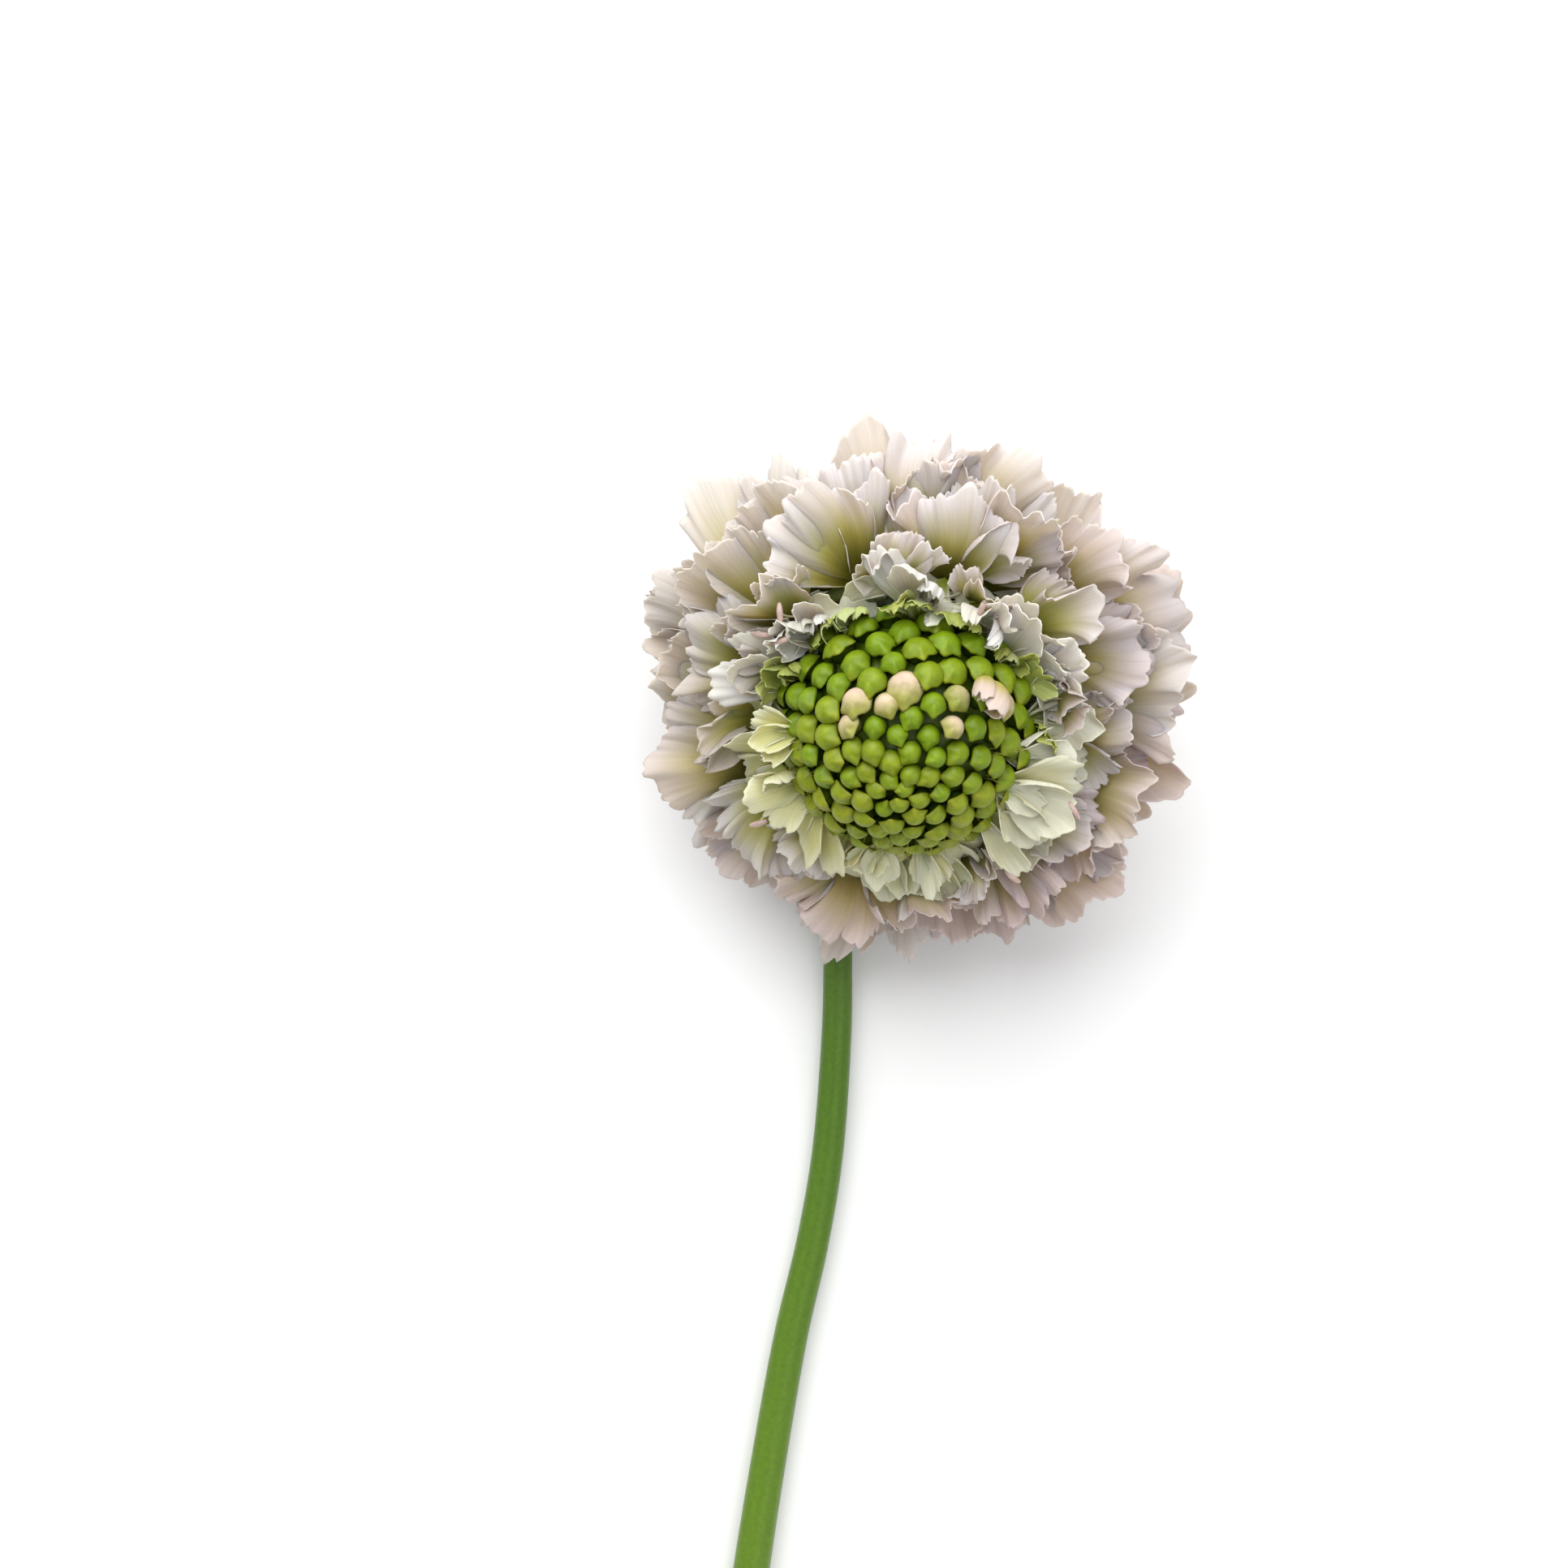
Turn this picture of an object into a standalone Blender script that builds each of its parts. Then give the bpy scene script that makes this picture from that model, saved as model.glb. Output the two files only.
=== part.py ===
"""One cut scabiosa flower, laid on its back on a flat surface, ready to be put in a vase or a bunch.

A nodding bloom on a bare green stem: a high green boss of closed buds, ringed by ruffled white florets
that stand on a bowl-shaped core, with narrow green bracts underneath. The stem leaves the back of the
bloom, hooks round and runs along the surface towards -Y. The bloom faces up, leaning towards -Y.

Blender 4.5, metres, +Z up. The origin is the middle of the bounding box, on the surface.
"""

import math

import bmesh
import bpy
import numpy as np
from mathutils import Vector

MM = 0.001
FLOOR = 0.0

# Driving sizes of the bloom
BLOOM_BASE = Vector((0.37, 95.9, 19.0)) * MM  # where the head sits on its stem
BLOOM_NODS = math.radians(23.5)  # how far the face leans from straight up towards -Y
BLOOM_LEANS = math.radians(7.0)  # and towards -X
BOSS_RADIUS = 17.6 * MM  # over the tips of the buds
BOSS_CENTRE_HEIGHT = 13.8 * MM  # of the boss's round part above the base
SEAT_GAP = 0.35 * MM  # between pieces that lie against each other

# Closed buds, from the youngest in the middle to the oldest at the rim
BUD_ANGLES = np.radians((0.0, 20.0, 45.0, 97.0))  # from the youngest bud
BUD_SPACING = np.array((2.7, 3.2, 3.8, 4.7)) * MM
YOUNGEST_LEANS = math.radians(8.0)  # how far the youngest bud lies from the face's middle, on its low side
BUD_RIM = math.radians(88.0)  # where the buds end, from the face's middle
BUD_HEIGHT = 2.6 * MM
BUD_SIDES = 5
BUD_RINGS = ((0.46, 0.91), (0.76, 0.62), (0.88, 0.08))  # width and height, as shares
BUD_TIP_LEANS = 0.16  # of the spacing, towards the boss's middle
GOLDEN_ANGLE = math.radians(137.508)

# Florets, from the outermost to the innermost: the share of the way in, and what holds there
FLORETS = 46
FLORET_SEED = 11
RIPE = (0.00, 0.20, 0.40, 0.60, 0.80, 1.00)
ROOT_RADIUS = np.array((13.5, 16.8, 18.9, 19.9, 20.0, 19.2)) * MM
ROOT_HEIGHT = np.array((1.0, 3.6, 6.8, 9.8, 12.2, 13.6)) * MM
RISE = np.radians((-6.0, 5.0, 16.0, 27.0, 42.0, 66.0))
LOBE_LENGTH = np.array((25.0, 22.5, 19.5, 16.0, 12.0, 9.0)) * MM
BEND = np.radians((-16.0, -16.0, -24.0, -32.0, -34.0, -20.0))
HALF_SPAN = np.radians((52.0, 55.0, 58.0, 60.0, 58.0, 54.0))
WAVE_HEIGHT = (0.055, 0.055, 0.060, 0.065, 0.070, 0.080)  # as a share of the length
LOBE_PLACES = (-2 / 3, 0.0, 2 / 3)  # the middles of a floret's three lobes, across its fan
LOBE_NOTCH = 0.34  # how deep the margin is cut between two lobes
ROW_STOPS = (0.08, 0.52, 1.0)
SMALL_FROM = 0.70
PETAL_THICKNESS = 0.62 * MM
ROOT_SUNK = 1.8 * MM
DROOP_TOWARDS_SURFACE = math.radians(26.0)  # extra bend of the outer florets that lie on the surface

# Core that the florets stand on: half profile of radius and height above the base
CORE_OUTER = ((7.0, -0.55), (12.8, 0.3), (17.0, 3.6), (19.4, 7.6), (20.0, 11.5), (19.0, 14.0))
CORE_STEPS = 24

# Boss's underside, down to the stalk it stands on
BOSS_UNDER = ((16.2, 8.8), (12.6, 4.6), (8.2, 1.6), (5.2, 0.6), (5.0, -0.55))
BOSS_UNDER_SIDES = 20

# Bracts under the bloom
BRACTS = 11
BRACT_LENGTH = 15.0 * MM
BRACT_HALF_WIDTH = 1.7 * MM
BRACT_FALL = math.radians(-17.0)
BRACT_DISC = ((0.0, -0.9), (6.2, -0.9), (6.6, -1.7), (3.0, -2.6), (0.0, -2.6))
BRACT_THICKNESS = 0.8 * MM

# Stem: its route from the head, as seen from the camera side, with its radius at each point.
# x and y are measured from the base of the bloom. Along the surface z is the stem's own radius.
STEM_TOP = -2.95 * MM
NECK = ((0.95, 2.9, 9.6, 2.05), (0.6, 1.2, 4.6, 1.95), (-1.9, -4.4, 2.05, 1.93))
ALONG_SURFACE = (
    (-6.8, -14.5, 1.92),
    (-9.7, -25.0, 1.94),
    (-10.3, -35.5, 1.99),
    (-10.5, -47.0, 2.08),
    (-11.8, -64.6, 2.20),
    (-13.9, -77.0, 2.28),
    (-16.8, -89.4, 2.36),
    (-19.8, -106.0, 2.45),
    (-22.4, -122.3, 2.54),
    (-27.0, -155.0, 2.62),
    (-30.0, -190.0, 2.66),
    (-31.5, -225.0, 2.70),
)
STEM_TOP_RADIUS = 2.9 * MM
STEM_RINGS = 52


def bloom_axes():
    """The bloom's own directions: across it, up it, and out of its face."""
    face = Vector((-math.tan(BLOOM_LEANS), -math.tan(BLOOM_NODS), 1.0)).normalized()
    across = (Vector((1.0, 0.0, 0.0)) - face * face.x).normalized()
    return np.array(across), np.array(face.cross(across)), np.array(face)


ACROSS, UP, FACE = bloom_axes()


def outward(azimuth):
    """Unit vectors square to the bloom's axis, at these angles round it."""
    return np.multiply.outer(np.cos(azimuth), ACROSS) + np.multiply.outer(np.sin(azimuth), UP)


def bloom_point(radius, azimuth, height):
    """Points given by radius, angle round the bloom's axis and height along it."""
    return np.array(BLOOM_BASE) + np.asarray(radius)[..., None] * outward(azimuth) + np.multiply.outer(height, FACE)


def material(name, colour, roughness):
    made = bpy.data.materials.new(name)
    made.use_nodes = True
    shader = made.node_tree.nodes["Principled BSDF"]
    shader.inputs["Base Color"].default_value = (*colour, 1.0)
    shader.inputs["Roughness"].default_value = roughness
    shader.inputs["Metallic"].default_value = 0.0
    return made


def mesh_object(name, points, faces, finish, collection=None):
    mesh = bpy.data.meshes.new(name)
    mesh.from_pydata([tuple(map(float, point)) for point in points], [], [tuple(face) for face in faces])
    mesh.materials.append(finish)
    obj = bpy.data.objects.new(name, mesh)
    (collection or bpy.context.scene.collection).objects.link(obj)
    return obj


def turned(name, profile, finish, steps=CORE_STEPS, collection=None):
    """A closed profile of (radius, height) pairs turned round the bloom's axis. A pair on the axis is one point."""
    turns = np.arange(steps) * 2 * math.pi / steps
    points, rings = [], []
    for radius, height in profile:
        angles = turns if radius > 0 else turns[:1]
        rings.append(len(points) + np.arange(len(angles)))
        points.extend(bloom_point(np.full(len(angles), radius), angles, np.full(len(angles), height)))
    faces = []
    for near, far in zip(rings, [*rings[1:], rings[0]]):
        for k in range(steps):
            corners = [near[k % len(near)], far[k % len(far)], far[(k + 1) % len(far)], near[(k + 1) % len(near)]]
            distinct = list(dict.fromkeys(corners))
            if len(distinct) > 2:
                faces.append(distinct)
    obj = mesh_object(name, points, faces, finish, collection)
    face_outwards(obj)
    return obj


def face_outwards(obj):
    shape = bmesh.new()
    shape.from_mesh(obj.data)
    bmesh.ops.recalc_face_normals(shape, faces=shape.faces)
    shape.to_mesh(obj.data)
    shape.free()


def helper_collection(name):
    made = bpy.data.collections.new(name)
    bpy.context.scene.collection.children.link(made)
    return made


def boolean(obj, operation, operand, solver="MANIFOLD"):
    step = obj.modifiers.new(operation.title(), "BOOLEAN")
    step.operation = operation
    step.solver = solver
    if isinstance(operand, bpy.types.Collection):
        step.operand_type = "COLLECTION"
        step.collection = operand
    else:
        step.object = operand


def apply_modifiers(obj):
    """The evaluated mesh becomes the object's own, without any loose scrap that a cut left behind."""
    bpy.context.view_layer.update()
    evaluated = obj.evaluated_get(bpy.context.evaluated_depsgraph_get())
    mesh = bpy.data.meshes.new_from_object(evaluated)
    obj.modifiers.clear()
    obj.data = mesh
    shape = bmesh.new()
    shape.from_mesh(mesh)
    unseen = set(shape.verts)
    bodies = []
    while unseen:
        body, edge_of_search = set(), [unseen.pop()]
        while edge_of_search:
            vertex = edge_of_search.pop()
            body.add(vertex)
            for edge in vertex.link_edges:
                other = edge.other_vert(vertex)
                if other in unseen:
                    unseen.remove(other)
                    edge_of_search.append(other)
        bodies.append(body)
    bodies.sort(key=len)
    for scrap in bodies[:-1]:
        bmesh.ops.delete(shape, geom=list(scrap), context="VERTS")
    shape.to_mesh(mesh)
    shape.free()


def remove_collection(collection):
    for obj in list(collection.objects):
        bpy.data.objects.remove(obj)
    bpy.data.collections.remove(collection)


def bridged(rows):
    """Triangles that join each row of point numbers to the next, whatever their counts."""
    triangles = []
    for near, far in zip(rows, rows[1:]):
        i = j = 0
        while i < len(near) - 1 or j < len(far) - 1:
            near_share = (i + 1) / max(len(near) - 1, 1)
            far_share = (j + 1) / max(len(far) - 1, 1)
            if i == len(near) - 1 or (j < len(far) - 1 and far_share <= near_share):
                triangles.append((near[i], far[j + 1], far[j]))
                j += 1
            else:
                triangles.append((near[i], near[i + 1], far[j]))
                i += 1
    return triangles


def floret_points(along, across, floret):
    """A floret is one ruffled fan of three lobes. along runs 0 to 1 from its throat to its margin.

    across runs -1 to 1 over the fan's angle, and each lobe takes a third of it. The margin is drawn in
    between two lobes and at the ends. The fan bends evenly along its length, its sides are raised, each
    lobe tips up or down by its own pitch, and the margin waves more the nearer the tip.
    """
    angle = floret["half_span"] * across
    from_lobe_middle = 2 * np.mod(1.5 * (across + 1) + 1e-9, 1.0) - 1
    margin = 1 - LOBE_NOTCH * np.abs(from_lobe_middle) ** 3
    lobe_length = np.interp(across, LOBE_PLACES, floret["lobe_lengths"])
    reach = lobe_length * along * margin
    wave = np.sin(math.pi * floret["waves"] * across + floret["phase"])
    lift = floret["wave_height"] * along**2.2 * wave
    lift = lift + floret["trough"] * (reach * np.sin(angle)) ** 2 / floret["length"]
    lift = lift + reach * along * np.interp(across, LOBE_PLACES, floret["lobe_pitches"])
    curl = floret["length"] / floret["bend"]
    turned_by = reach / curl
    forward = curl * np.sin(turned_by) - lift * np.sin(turned_by)
    upward = curl * (1 - np.cos(turned_by)) + lift * np.cos(turned_by)
    ahead = np.multiply.outer(np.cos(angle), floret["out"]) + np.multiply.outer(np.sin(angle), floret["side"])
    return beside_boss(floret["root"] + forward[..., None] * ahead + np.multiply.outer(upward, floret["face"]))


def beside_boss(points):
    """Points inside the round boss are moved straight out to lie on it, with the gap between pieces."""
    centre = bloom_point(0.0, 0.0, BOSS_CENTRE_HEIGHT)
    offset = points - centre
    distance = np.linalg.norm(offset, axis=-1, keepdims=True)
    nearest = BOSS_RADIUS + SEAT_GAP + PETAL_THICKNESS / 2 + 0.0001
    above = (offset @ FACE)[..., None] > 0
    return np.where(above & (distance < nearest), centre + offset * nearest / distance, points)


def leaned(first, second, angle):
    """first turned towards second by angle, and second turned with it."""
    return (
        first * math.cos(angle) + second * math.sin(angle),
        second * math.cos(angle) - first * math.sin(angle),
    )


def open_florets():
    """Every floret's place, directions and shape: set round the core by the golden angle, from the outside in."""
    chance = np.random.default_rng(FLORET_SEED).uniform(-1.0, 1.0, (FLORETS, 16))
    florets = []
    for i, draw in enumerate(chance):
        ripe = i / (FLORETS - 1)
        azimuth = i * GOLDEN_ANGLE + math.radians(6.0) * draw[0]
        out = outward(azimuth)
        low = max(0.0, -out[2] / 0.4) * max(0.0, 1 - ripe / 0.25)
        rise = np.interp(ripe, RIPE, RISE) + math.radians(6.0 + 14.0 * ripe**2) * draw[1]
        ahead, face = leaned(out, FACE, rise)
        side = np.cross(FACE, out)
        root = bloom_point(np.interp(ripe, RIPE, ROOT_RADIUS), azimuth, np.interp(ripe, RIPE, ROOT_HEIGHT))
        root = root - ROOT_SUNK * ahead
        ahead, side = leaned(ahead, side, math.radians(13.0) * draw[2])
        side, face = leaned(side, face, math.radians(15.0) * draw[3])
        length = np.interp(ripe, RIPE, LOBE_LENGTH) * (1 + 0.07 * draw[4])
        bend = np.interp(ripe, RIPE, BEND) + math.radians(12.0) * draw[5] - DROOP_TOWARDS_SURFACE * low
        florets.append(
            {
                "ripe": ripe,
                "root": root,
                "out": ahead,
                "side": side,
                "face": face,
                "length": length,
                "bend": bend if abs(bend) > 0.02 else 0.02,
                "half_span": np.interp(ripe, RIPE, HALF_SPAN) * (1 + 0.08 * draw[6]),
                "lobe_lengths": length * (np.array((0.88, 1.0, 0.88)) + 0.07 * draw[7:10]),
                "lobe_pitches": 0.20 * draw[10:13],
                "trough": 0.12 + 0.14 * draw[13],
                "wave_height": length * np.interp(ripe, RIPE, WAVE_HEIGHT),
                "waves": 3.6 + 0.7 * draw[14],
                "phase": math.pi * draw[15],
            }
        )
    return florets


def blade(name, rows, thickness, finish, collection):
    """A thin closed blade over rows of points, triangulated alike on both faces."""
    numbered, start = [], 0
    for row in rows:
        numbered.append(list(range(start, start + len(row))))
        start += len(row)
    obj = mesh_object(name, np.concatenate(rows), bridged(numbered), finish, collection)
    wall = obj.modifiers.new("Thickness", "SOLIDIFY")
    wall.thickness = thickness
    wall.offset = 0.0
    return obj


def floret_rows(floret):
    """Rows of points across a floret: its root, its throat and its margin, with fewer on the small ones."""
    counts = (2, 7, 13) if floret["ripe"] < SMALL_FROM else (2, 4, 10)
    return [
        floret_points(np.full(count, along), np.linspace(-1.0, 1.0, count), floret)
        for along, count in zip(ROW_STOPS, counts)
    ]


def make_florets(finish, keep_clear):
    """All the open florets, grown from the core. The pieces in keep_clear are cut out of them."""
    inner = [(r * MM + 0.5 * MM, h * MM - 0.5 * MM) for r, h in BOSS_UNDER[:-1]]
    rim = [(BOSS_RADIUS + SEAT_GAP, BOSS_CENTRE_HEIGHT - 1 * MM), (BOSS_RADIUS + SEAT_GAP, CORE_OUTER[-1][1] * MM)]
    hole = [(BOSS_UNDER[-1][0] * MM + 0.45 * MM, -0.55 * MM), *inner[::-1], *rim]
    outer = [(r * MM, h * MM) for r, h in CORE_OUTER]
    florets = turned("florets", [*hole, *outer[::-1]], finish)
    blades = helper_collection("floret blades")
    for number, floret in enumerate(open_florets()):
        blade(f"floret {number}", floret_rows(floret), PETAL_THICKNESS, finish, blades)
    boolean(florets, "UNION", blades)
    for piece in keep_clear:
        boolean(florets, "DIFFERENCE", piece)
    apply_modifiers(florets)
    remove_collection(blades)
    return florets


def bud_directions():
    """Each bud's direction from the boss's centre, the two across it, uphill and aside, and its spacing.

    The buds follow the golden angle round the youngest. Every bud takes the area of its own spacing.
    """
    youngest, upper = leaned(FACE, -UP, YOUNGEST_LEANS)
    buds, count, covered, polar = [], 0, 0.0, 0.0
    while polar < BUD_ANGLES[-1]:
        spacing = float(np.interp(polar, BUD_ANGLES, BUD_SPACING))
        area = math.sqrt(3) / 2 * spacing**2
        polar = math.acos(1 - (covered + area / 2) / (2 * math.pi * (BOSS_RADIUS - BUD_HEIGHT / 2) ** 2))
        azimuth = count * GOLDEN_ANGLE
        around = math.cos(azimuth) * ACROSS - math.sin(azimuth) * upper
        bud = math.sin(polar) * around + math.cos(polar) * youngest
        aside = np.cross(youngest, around)
        if bud @ FACE > math.cos(BUD_RIM):
            buds.append((bud, np.cross(bud, aside), aside, spacing))
        covered += area
        count += 1
    return buds


def make_boss(finish):
    """The boss of buds: a round body whose surface is raised into a bud round each centre.

    The directions of all points, seen from the boss's centre, are joined by their convex hull. Each point
    is then moved out to its own distance, so no two faces can cross.
    """
    shape = bmesh.new()
    centre = bloom_point(0.0, 0.0, BOSS_CENTRE_HEIGHT)
    floor_of_buds = BOSS_RADIUS - BUD_HEIGHT
    layout = []
    for bud, uphill, aside, spacing in bud_directions():
        tip, _ = leaned(bud, uphill, BUD_TIP_LEANS * spacing / BOSS_RADIUS)
        layout.append((tip, BOSS_RADIUS))
        for width, height in BUD_RINGS:
            reach = width * spacing / 2 / BOSS_RADIUS
            for k in range(BUD_SIDES):
                turn = 2 * math.pi * (k + 0.5) / BUD_SIDES
                towards = math.cos(turn) * uphill + math.sin(turn) * aside
                direction = math.cos(reach) * bud + math.sin(reach) * towards
                layout.append((direction, floor_of_buds + height * BUD_HEIGHT))
    for radius, height in BOSS_UNDER:
        for k in range(BOSS_UNDER_SIDES):
            turn = 2 * math.pi * k / BOSS_UNDER_SIDES
            offset = radius * MM * outward(turn) + (height * MM - BOSS_CENTRE_HEIGHT) * FACE
            distance = np.linalg.norm(offset)
            layout.append((offset / distance, distance))
    foot = BOSS_CENTRE_HEIGHT - BOSS_UNDER[-1][1] * MM
    layout.append((-FACE, foot))
    points = [shape.verts.new(direction) for direction, _ in layout]
    bmesh.ops.convex_hull(shape, input=points)
    for point, (direction, distance) in zip(points, layout):
        point.co = Vector(centre + direction * distance)
    loose = [point for point in points if not point.link_faces]
    bmesh.ops.delete(shape, geom=loose, context="VERTS")
    bmesh.ops.recalc_face_normals(shape, faces=shape.faces)
    mesh = bpy.data.meshes.new("bud_boss")
    shape.to_mesh(mesh)
    shape.free()
    mesh.materials.append(finish)
    obj = bpy.data.objects.new("bud_boss", mesh)
    bpy.context.scene.collection.objects.link(obj)
    return obj


def bract_rows(azimuth, fall, length):
    """Rows of points across a narrow pointed bract, widest a third of the way out."""
    out, under = leaned(outward(azimuth), FACE, fall)
    aside = np.cross(FACE, outward(azimuth))
    root = bloom_point(4.6 * MM, azimuth, -1.75 * MM)
    rows = []
    for along, width in ((0.0, 0.75), (0.35, 1.0), (0.7, 0.62), (1.0, 0.12)):
        middle = root + length * along * out - 1.2 * MM * along**2 * under
        half = BRACT_HALF_WIDTH * width
        rows.append(np.array([middle - half * aside, middle + 0.35 * MM * under, middle + half * aside]))
    return rows


def make_involucre(finish):
    """The ring of bracts that holds the head, on a small disc over the stem's end."""
    profile = [(r * MM, h * MM) for r, h in BRACT_DISC]
    involucre = turned("involucre", profile, finish, 18)
    bracts = helper_collection("bracts")
    for k in range(BRACTS):
        azimuth = 2 * math.pi * (k + 0.35) / BRACTS
        fall = BRACT_FALL - math.radians(5.0) * (k % 2)
        length = BRACT_LENGTH * (1.0 - 0.12 * (k % 3) / 2)
        blade(f"bract {k}", bract_rows(azimuth, fall, length), BRACT_THICKNESS, finish, bracts)
    boolean(involucre, "UNION", bracts)
    apply_modifiers(involucre)
    remove_collection(bracts)
    return involucre


def stem_route():
    """Points and radii down the stem, from the head to the cut end, as a smooth curve through the named points."""
    base = np.array(BLOOM_BASE)
    knots = [[*(base + STEM_TOP * FACE), STEM_TOP_RADIUS], [*(base + (STEM_TOP - 2.4 * MM) * FACE), 2.25 * MM]]
    for x, y, z, radius in NECK:
        knots.append([base[0] + x * MM, base[1] + y * MM, z * MM, radius * MM])
    for x, y, radius in ALONG_SURFACE:
        knots.append([base[0] + x * MM, base[1] + y * MM, FLOOR + radius * MM, radius * MM])
    knots = np.array(knots)
    return catmull_rom(knots, STEM_RINGS)


def catmull_rom(knots, count):
    """count points evenly spaced along a centripetal curve through the knots."""
    ends = np.vstack([2 * knots[0] - knots[1], knots, 2 * knots[-1] - knots[-2]])
    fine = []
    for p0, p1, p2, p3 in zip(ends, ends[1:], ends[2:], ends[3:]):
        gaps = [np.linalg.norm((b - a)[:3]) ** 0.5 for a, b in ((p0, p1), (p1, p2), (p2, p3))]
        first = (p1 - p0) / gaps[0] - (p2 - p0) / (gaps[0] + gaps[1]) + (p2 - p1) / gaps[1]
        last = (p2 - p1) / gaps[1] - (p3 - p1) / (gaps[1] + gaps[2]) + (p3 - p2) / gaps[2]
        first, last = first * gaps[1], last * gaps[1]
        t = np.linspace(0.0, 1.0, 24, endpoint=False)[:, None]
        fine.append(
            (2 * t**3 - 3 * t**2 + 1) * p1
            + (t**3 - 2 * t**2 + t) * first
            + (3 * t**2 - 2 * t**3) * p2
            + (t**3 - t**2) * last
        )
    fine = np.vstack([*fine, knots[-1:]])
    run = np.concatenate([[0.0], np.cumsum(np.linalg.norm(np.diff(fine[:, :3], axis=0), axis=1))])
    # The neck is sharply bent, so half of the rings go to the first fifth of the length.
    shares = np.linspace(0.0, 1.0, count)
    stops = run[-1] * np.interp(shares, (0.0, 0.45, 1.0), (0.0, 0.17, 1.0))
    route = np.stack([np.interp(stops, run, fine[:, k]) for k in range(4)], axis=1)
    route[:, 2] = np.maximum(route[:, 2], FLOOR + route[:, 3])
    return route


def tube(name, route, finish, resolution=3, swell=0.0):
    """A round tube along the route, whose last column is the radius."""
    curve = bpy.data.curves.new(name, "CURVE")
    curve.dimensions = "3D"
    curve.bevel_depth = 1.0
    curve.bevel_resolution = resolution
    curve.use_fill_caps = True
    spline = curve.splines.new("POLY")
    spline.points.add(len(route) - 1)
    for point, (x, y, z, radius) in zip(spline.points, route):
        point.co = (x, y, z, 1.0)
        point.radius = radius + swell
    curve.materials.append(finish)
    obj = bpy.data.objects.new(name, curve)
    bpy.context.scene.collection.objects.link(obj)
    return obj


def as_cutter(obj):
    """A helper that only cuts: it is left out of the part."""
    obj.hide_render = True
    obj.display_type = "WIRE"
    return obj


def boss_clearance(finish):
    """The room that the boss takes, with its gap, from the core's rim up over the buds."""
    reach = BOSS_RADIUS + SEAT_GAP
    dome = [(0.0, BOSS_CENTRE_HEIGHT - 6 * MM), (reach, BOSS_CENTRE_HEIGHT - 2 * MM)]
    for degrees in (0, 18, 36, 54, 72):
        angle = math.radians(degrees)
        dome.append((reach * math.cos(angle), BOSS_CENTRE_HEIGHT + reach * math.sin(angle)))
    dome.append((0.0, BOSS_CENTRE_HEIGHT + reach))
    return as_cutter(turned("boss room", dome, finish))


def bract_clearance(finish):
    """The room under the bloom that the bracts spread in."""
    profile = ((0.0, -0.55), (8.0, -0.55), (20.5, -4.0), (20.5, -13.0), (0.0, -13.0))
    return as_cutter(turned("bract room", [(r * MM, h * MM) for r, h in profile], finish))


def floor_cutter(finish):
    """Everything below the surface that the flower lies on."""
    half, depth = 0.15, 0.04
    bpy.ops.mesh.primitive_cube_add(size=1.0, location=(0.0, BLOOM_BASE.y, FLOOR - depth / 2))
    cube = bpy.context.object
    cube.name = "below the surface"
    cube.scale = (2 * half, 2 * half, depth)
    cube.data.materials.append(finish)
    return as_cutter(cube)


def stem_clearance(route, finish):
    """The room that the stem takes among the petals, as a mesh, which a Boolean needs."""
    guide = tube("stem room guide", route, finish, resolution=2, swell=0.45 * MM)
    bpy.context.view_layer.update()
    mesh = bpy.data.meshes.new_from_object(guide.evaluated_get(bpy.context.evaluated_depsgraph_get()))
    bpy.data.objects.remove(guide)
    room = bpy.data.objects.new("stem room", mesh)
    bpy.context.scene.collection.objects.link(room)
    weld = bmesh.new()
    weld.from_mesh(mesh)
    bmesh.ops.remove_doubles(weld, verts=weld.verts, dist=0.00001)
    weld.to_mesh(mesh)
    weld.free()
    return as_cutter(room)


def main():
    for obj in list(bpy.data.objects):
        bpy.data.objects.remove(obj)
    petal = material("petal", (0.86, 0.80, 0.76), 0.6)
    bud = material("bud", (0.36, 0.55, 0.08), 0.45)
    bract = material("bract", (0.22, 0.38, 0.10), 0.55)
    stalk = material("stem", (0.20, 0.42, 0.09), 0.5)

    route = stem_route()
    make_boss(bud)
    make_involucre(bract)
    clear = [boss_clearance(bud), bract_clearance(bract), stem_clearance(route, stalk), floor_cutter(stalk)]
    make_florets(petal, clear)
    tube("stem", route, stalk)
    for cutter in clear:
        bpy.data.objects.remove(cutter)


main()
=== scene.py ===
"""The looks of one cut scabiosa flower that lies on its back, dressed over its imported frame.

Petals, buds, bracts and stem are surfaces worked out with numpy from the sizes that the solids use. The
bloom faces up and leans towards -Y, and its stem hooks round behind it and runs along the surface.
"""

from math import acos, atan2, cos, pi, prod, radians, sin, sqrt, tan

import bpy
import numpy as np
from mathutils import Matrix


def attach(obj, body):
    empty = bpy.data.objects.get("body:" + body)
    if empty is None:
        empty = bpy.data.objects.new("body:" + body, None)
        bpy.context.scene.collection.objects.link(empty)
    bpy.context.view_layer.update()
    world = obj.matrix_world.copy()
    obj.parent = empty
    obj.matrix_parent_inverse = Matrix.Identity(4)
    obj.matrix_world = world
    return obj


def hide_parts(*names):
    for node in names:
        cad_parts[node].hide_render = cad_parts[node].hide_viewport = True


MM = 0.001
FLOOR = 0.0
GOLDEN_ANGLE = radians(137.508)

# Driving sizes of the bloom, as in its solids
BLOOM_BASE = np.array((0.37, 95.9, 19.0)) * MM
BLOOM_NODS = radians(23.5)
BLOOM_LEANS = radians(7.0)
BOSS_RADIUS = 17.6 * MM
BOSS_CENTRE_HEIGHT = 13.8 * MM
SEAT_GAP = 0.35 * MM

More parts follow.
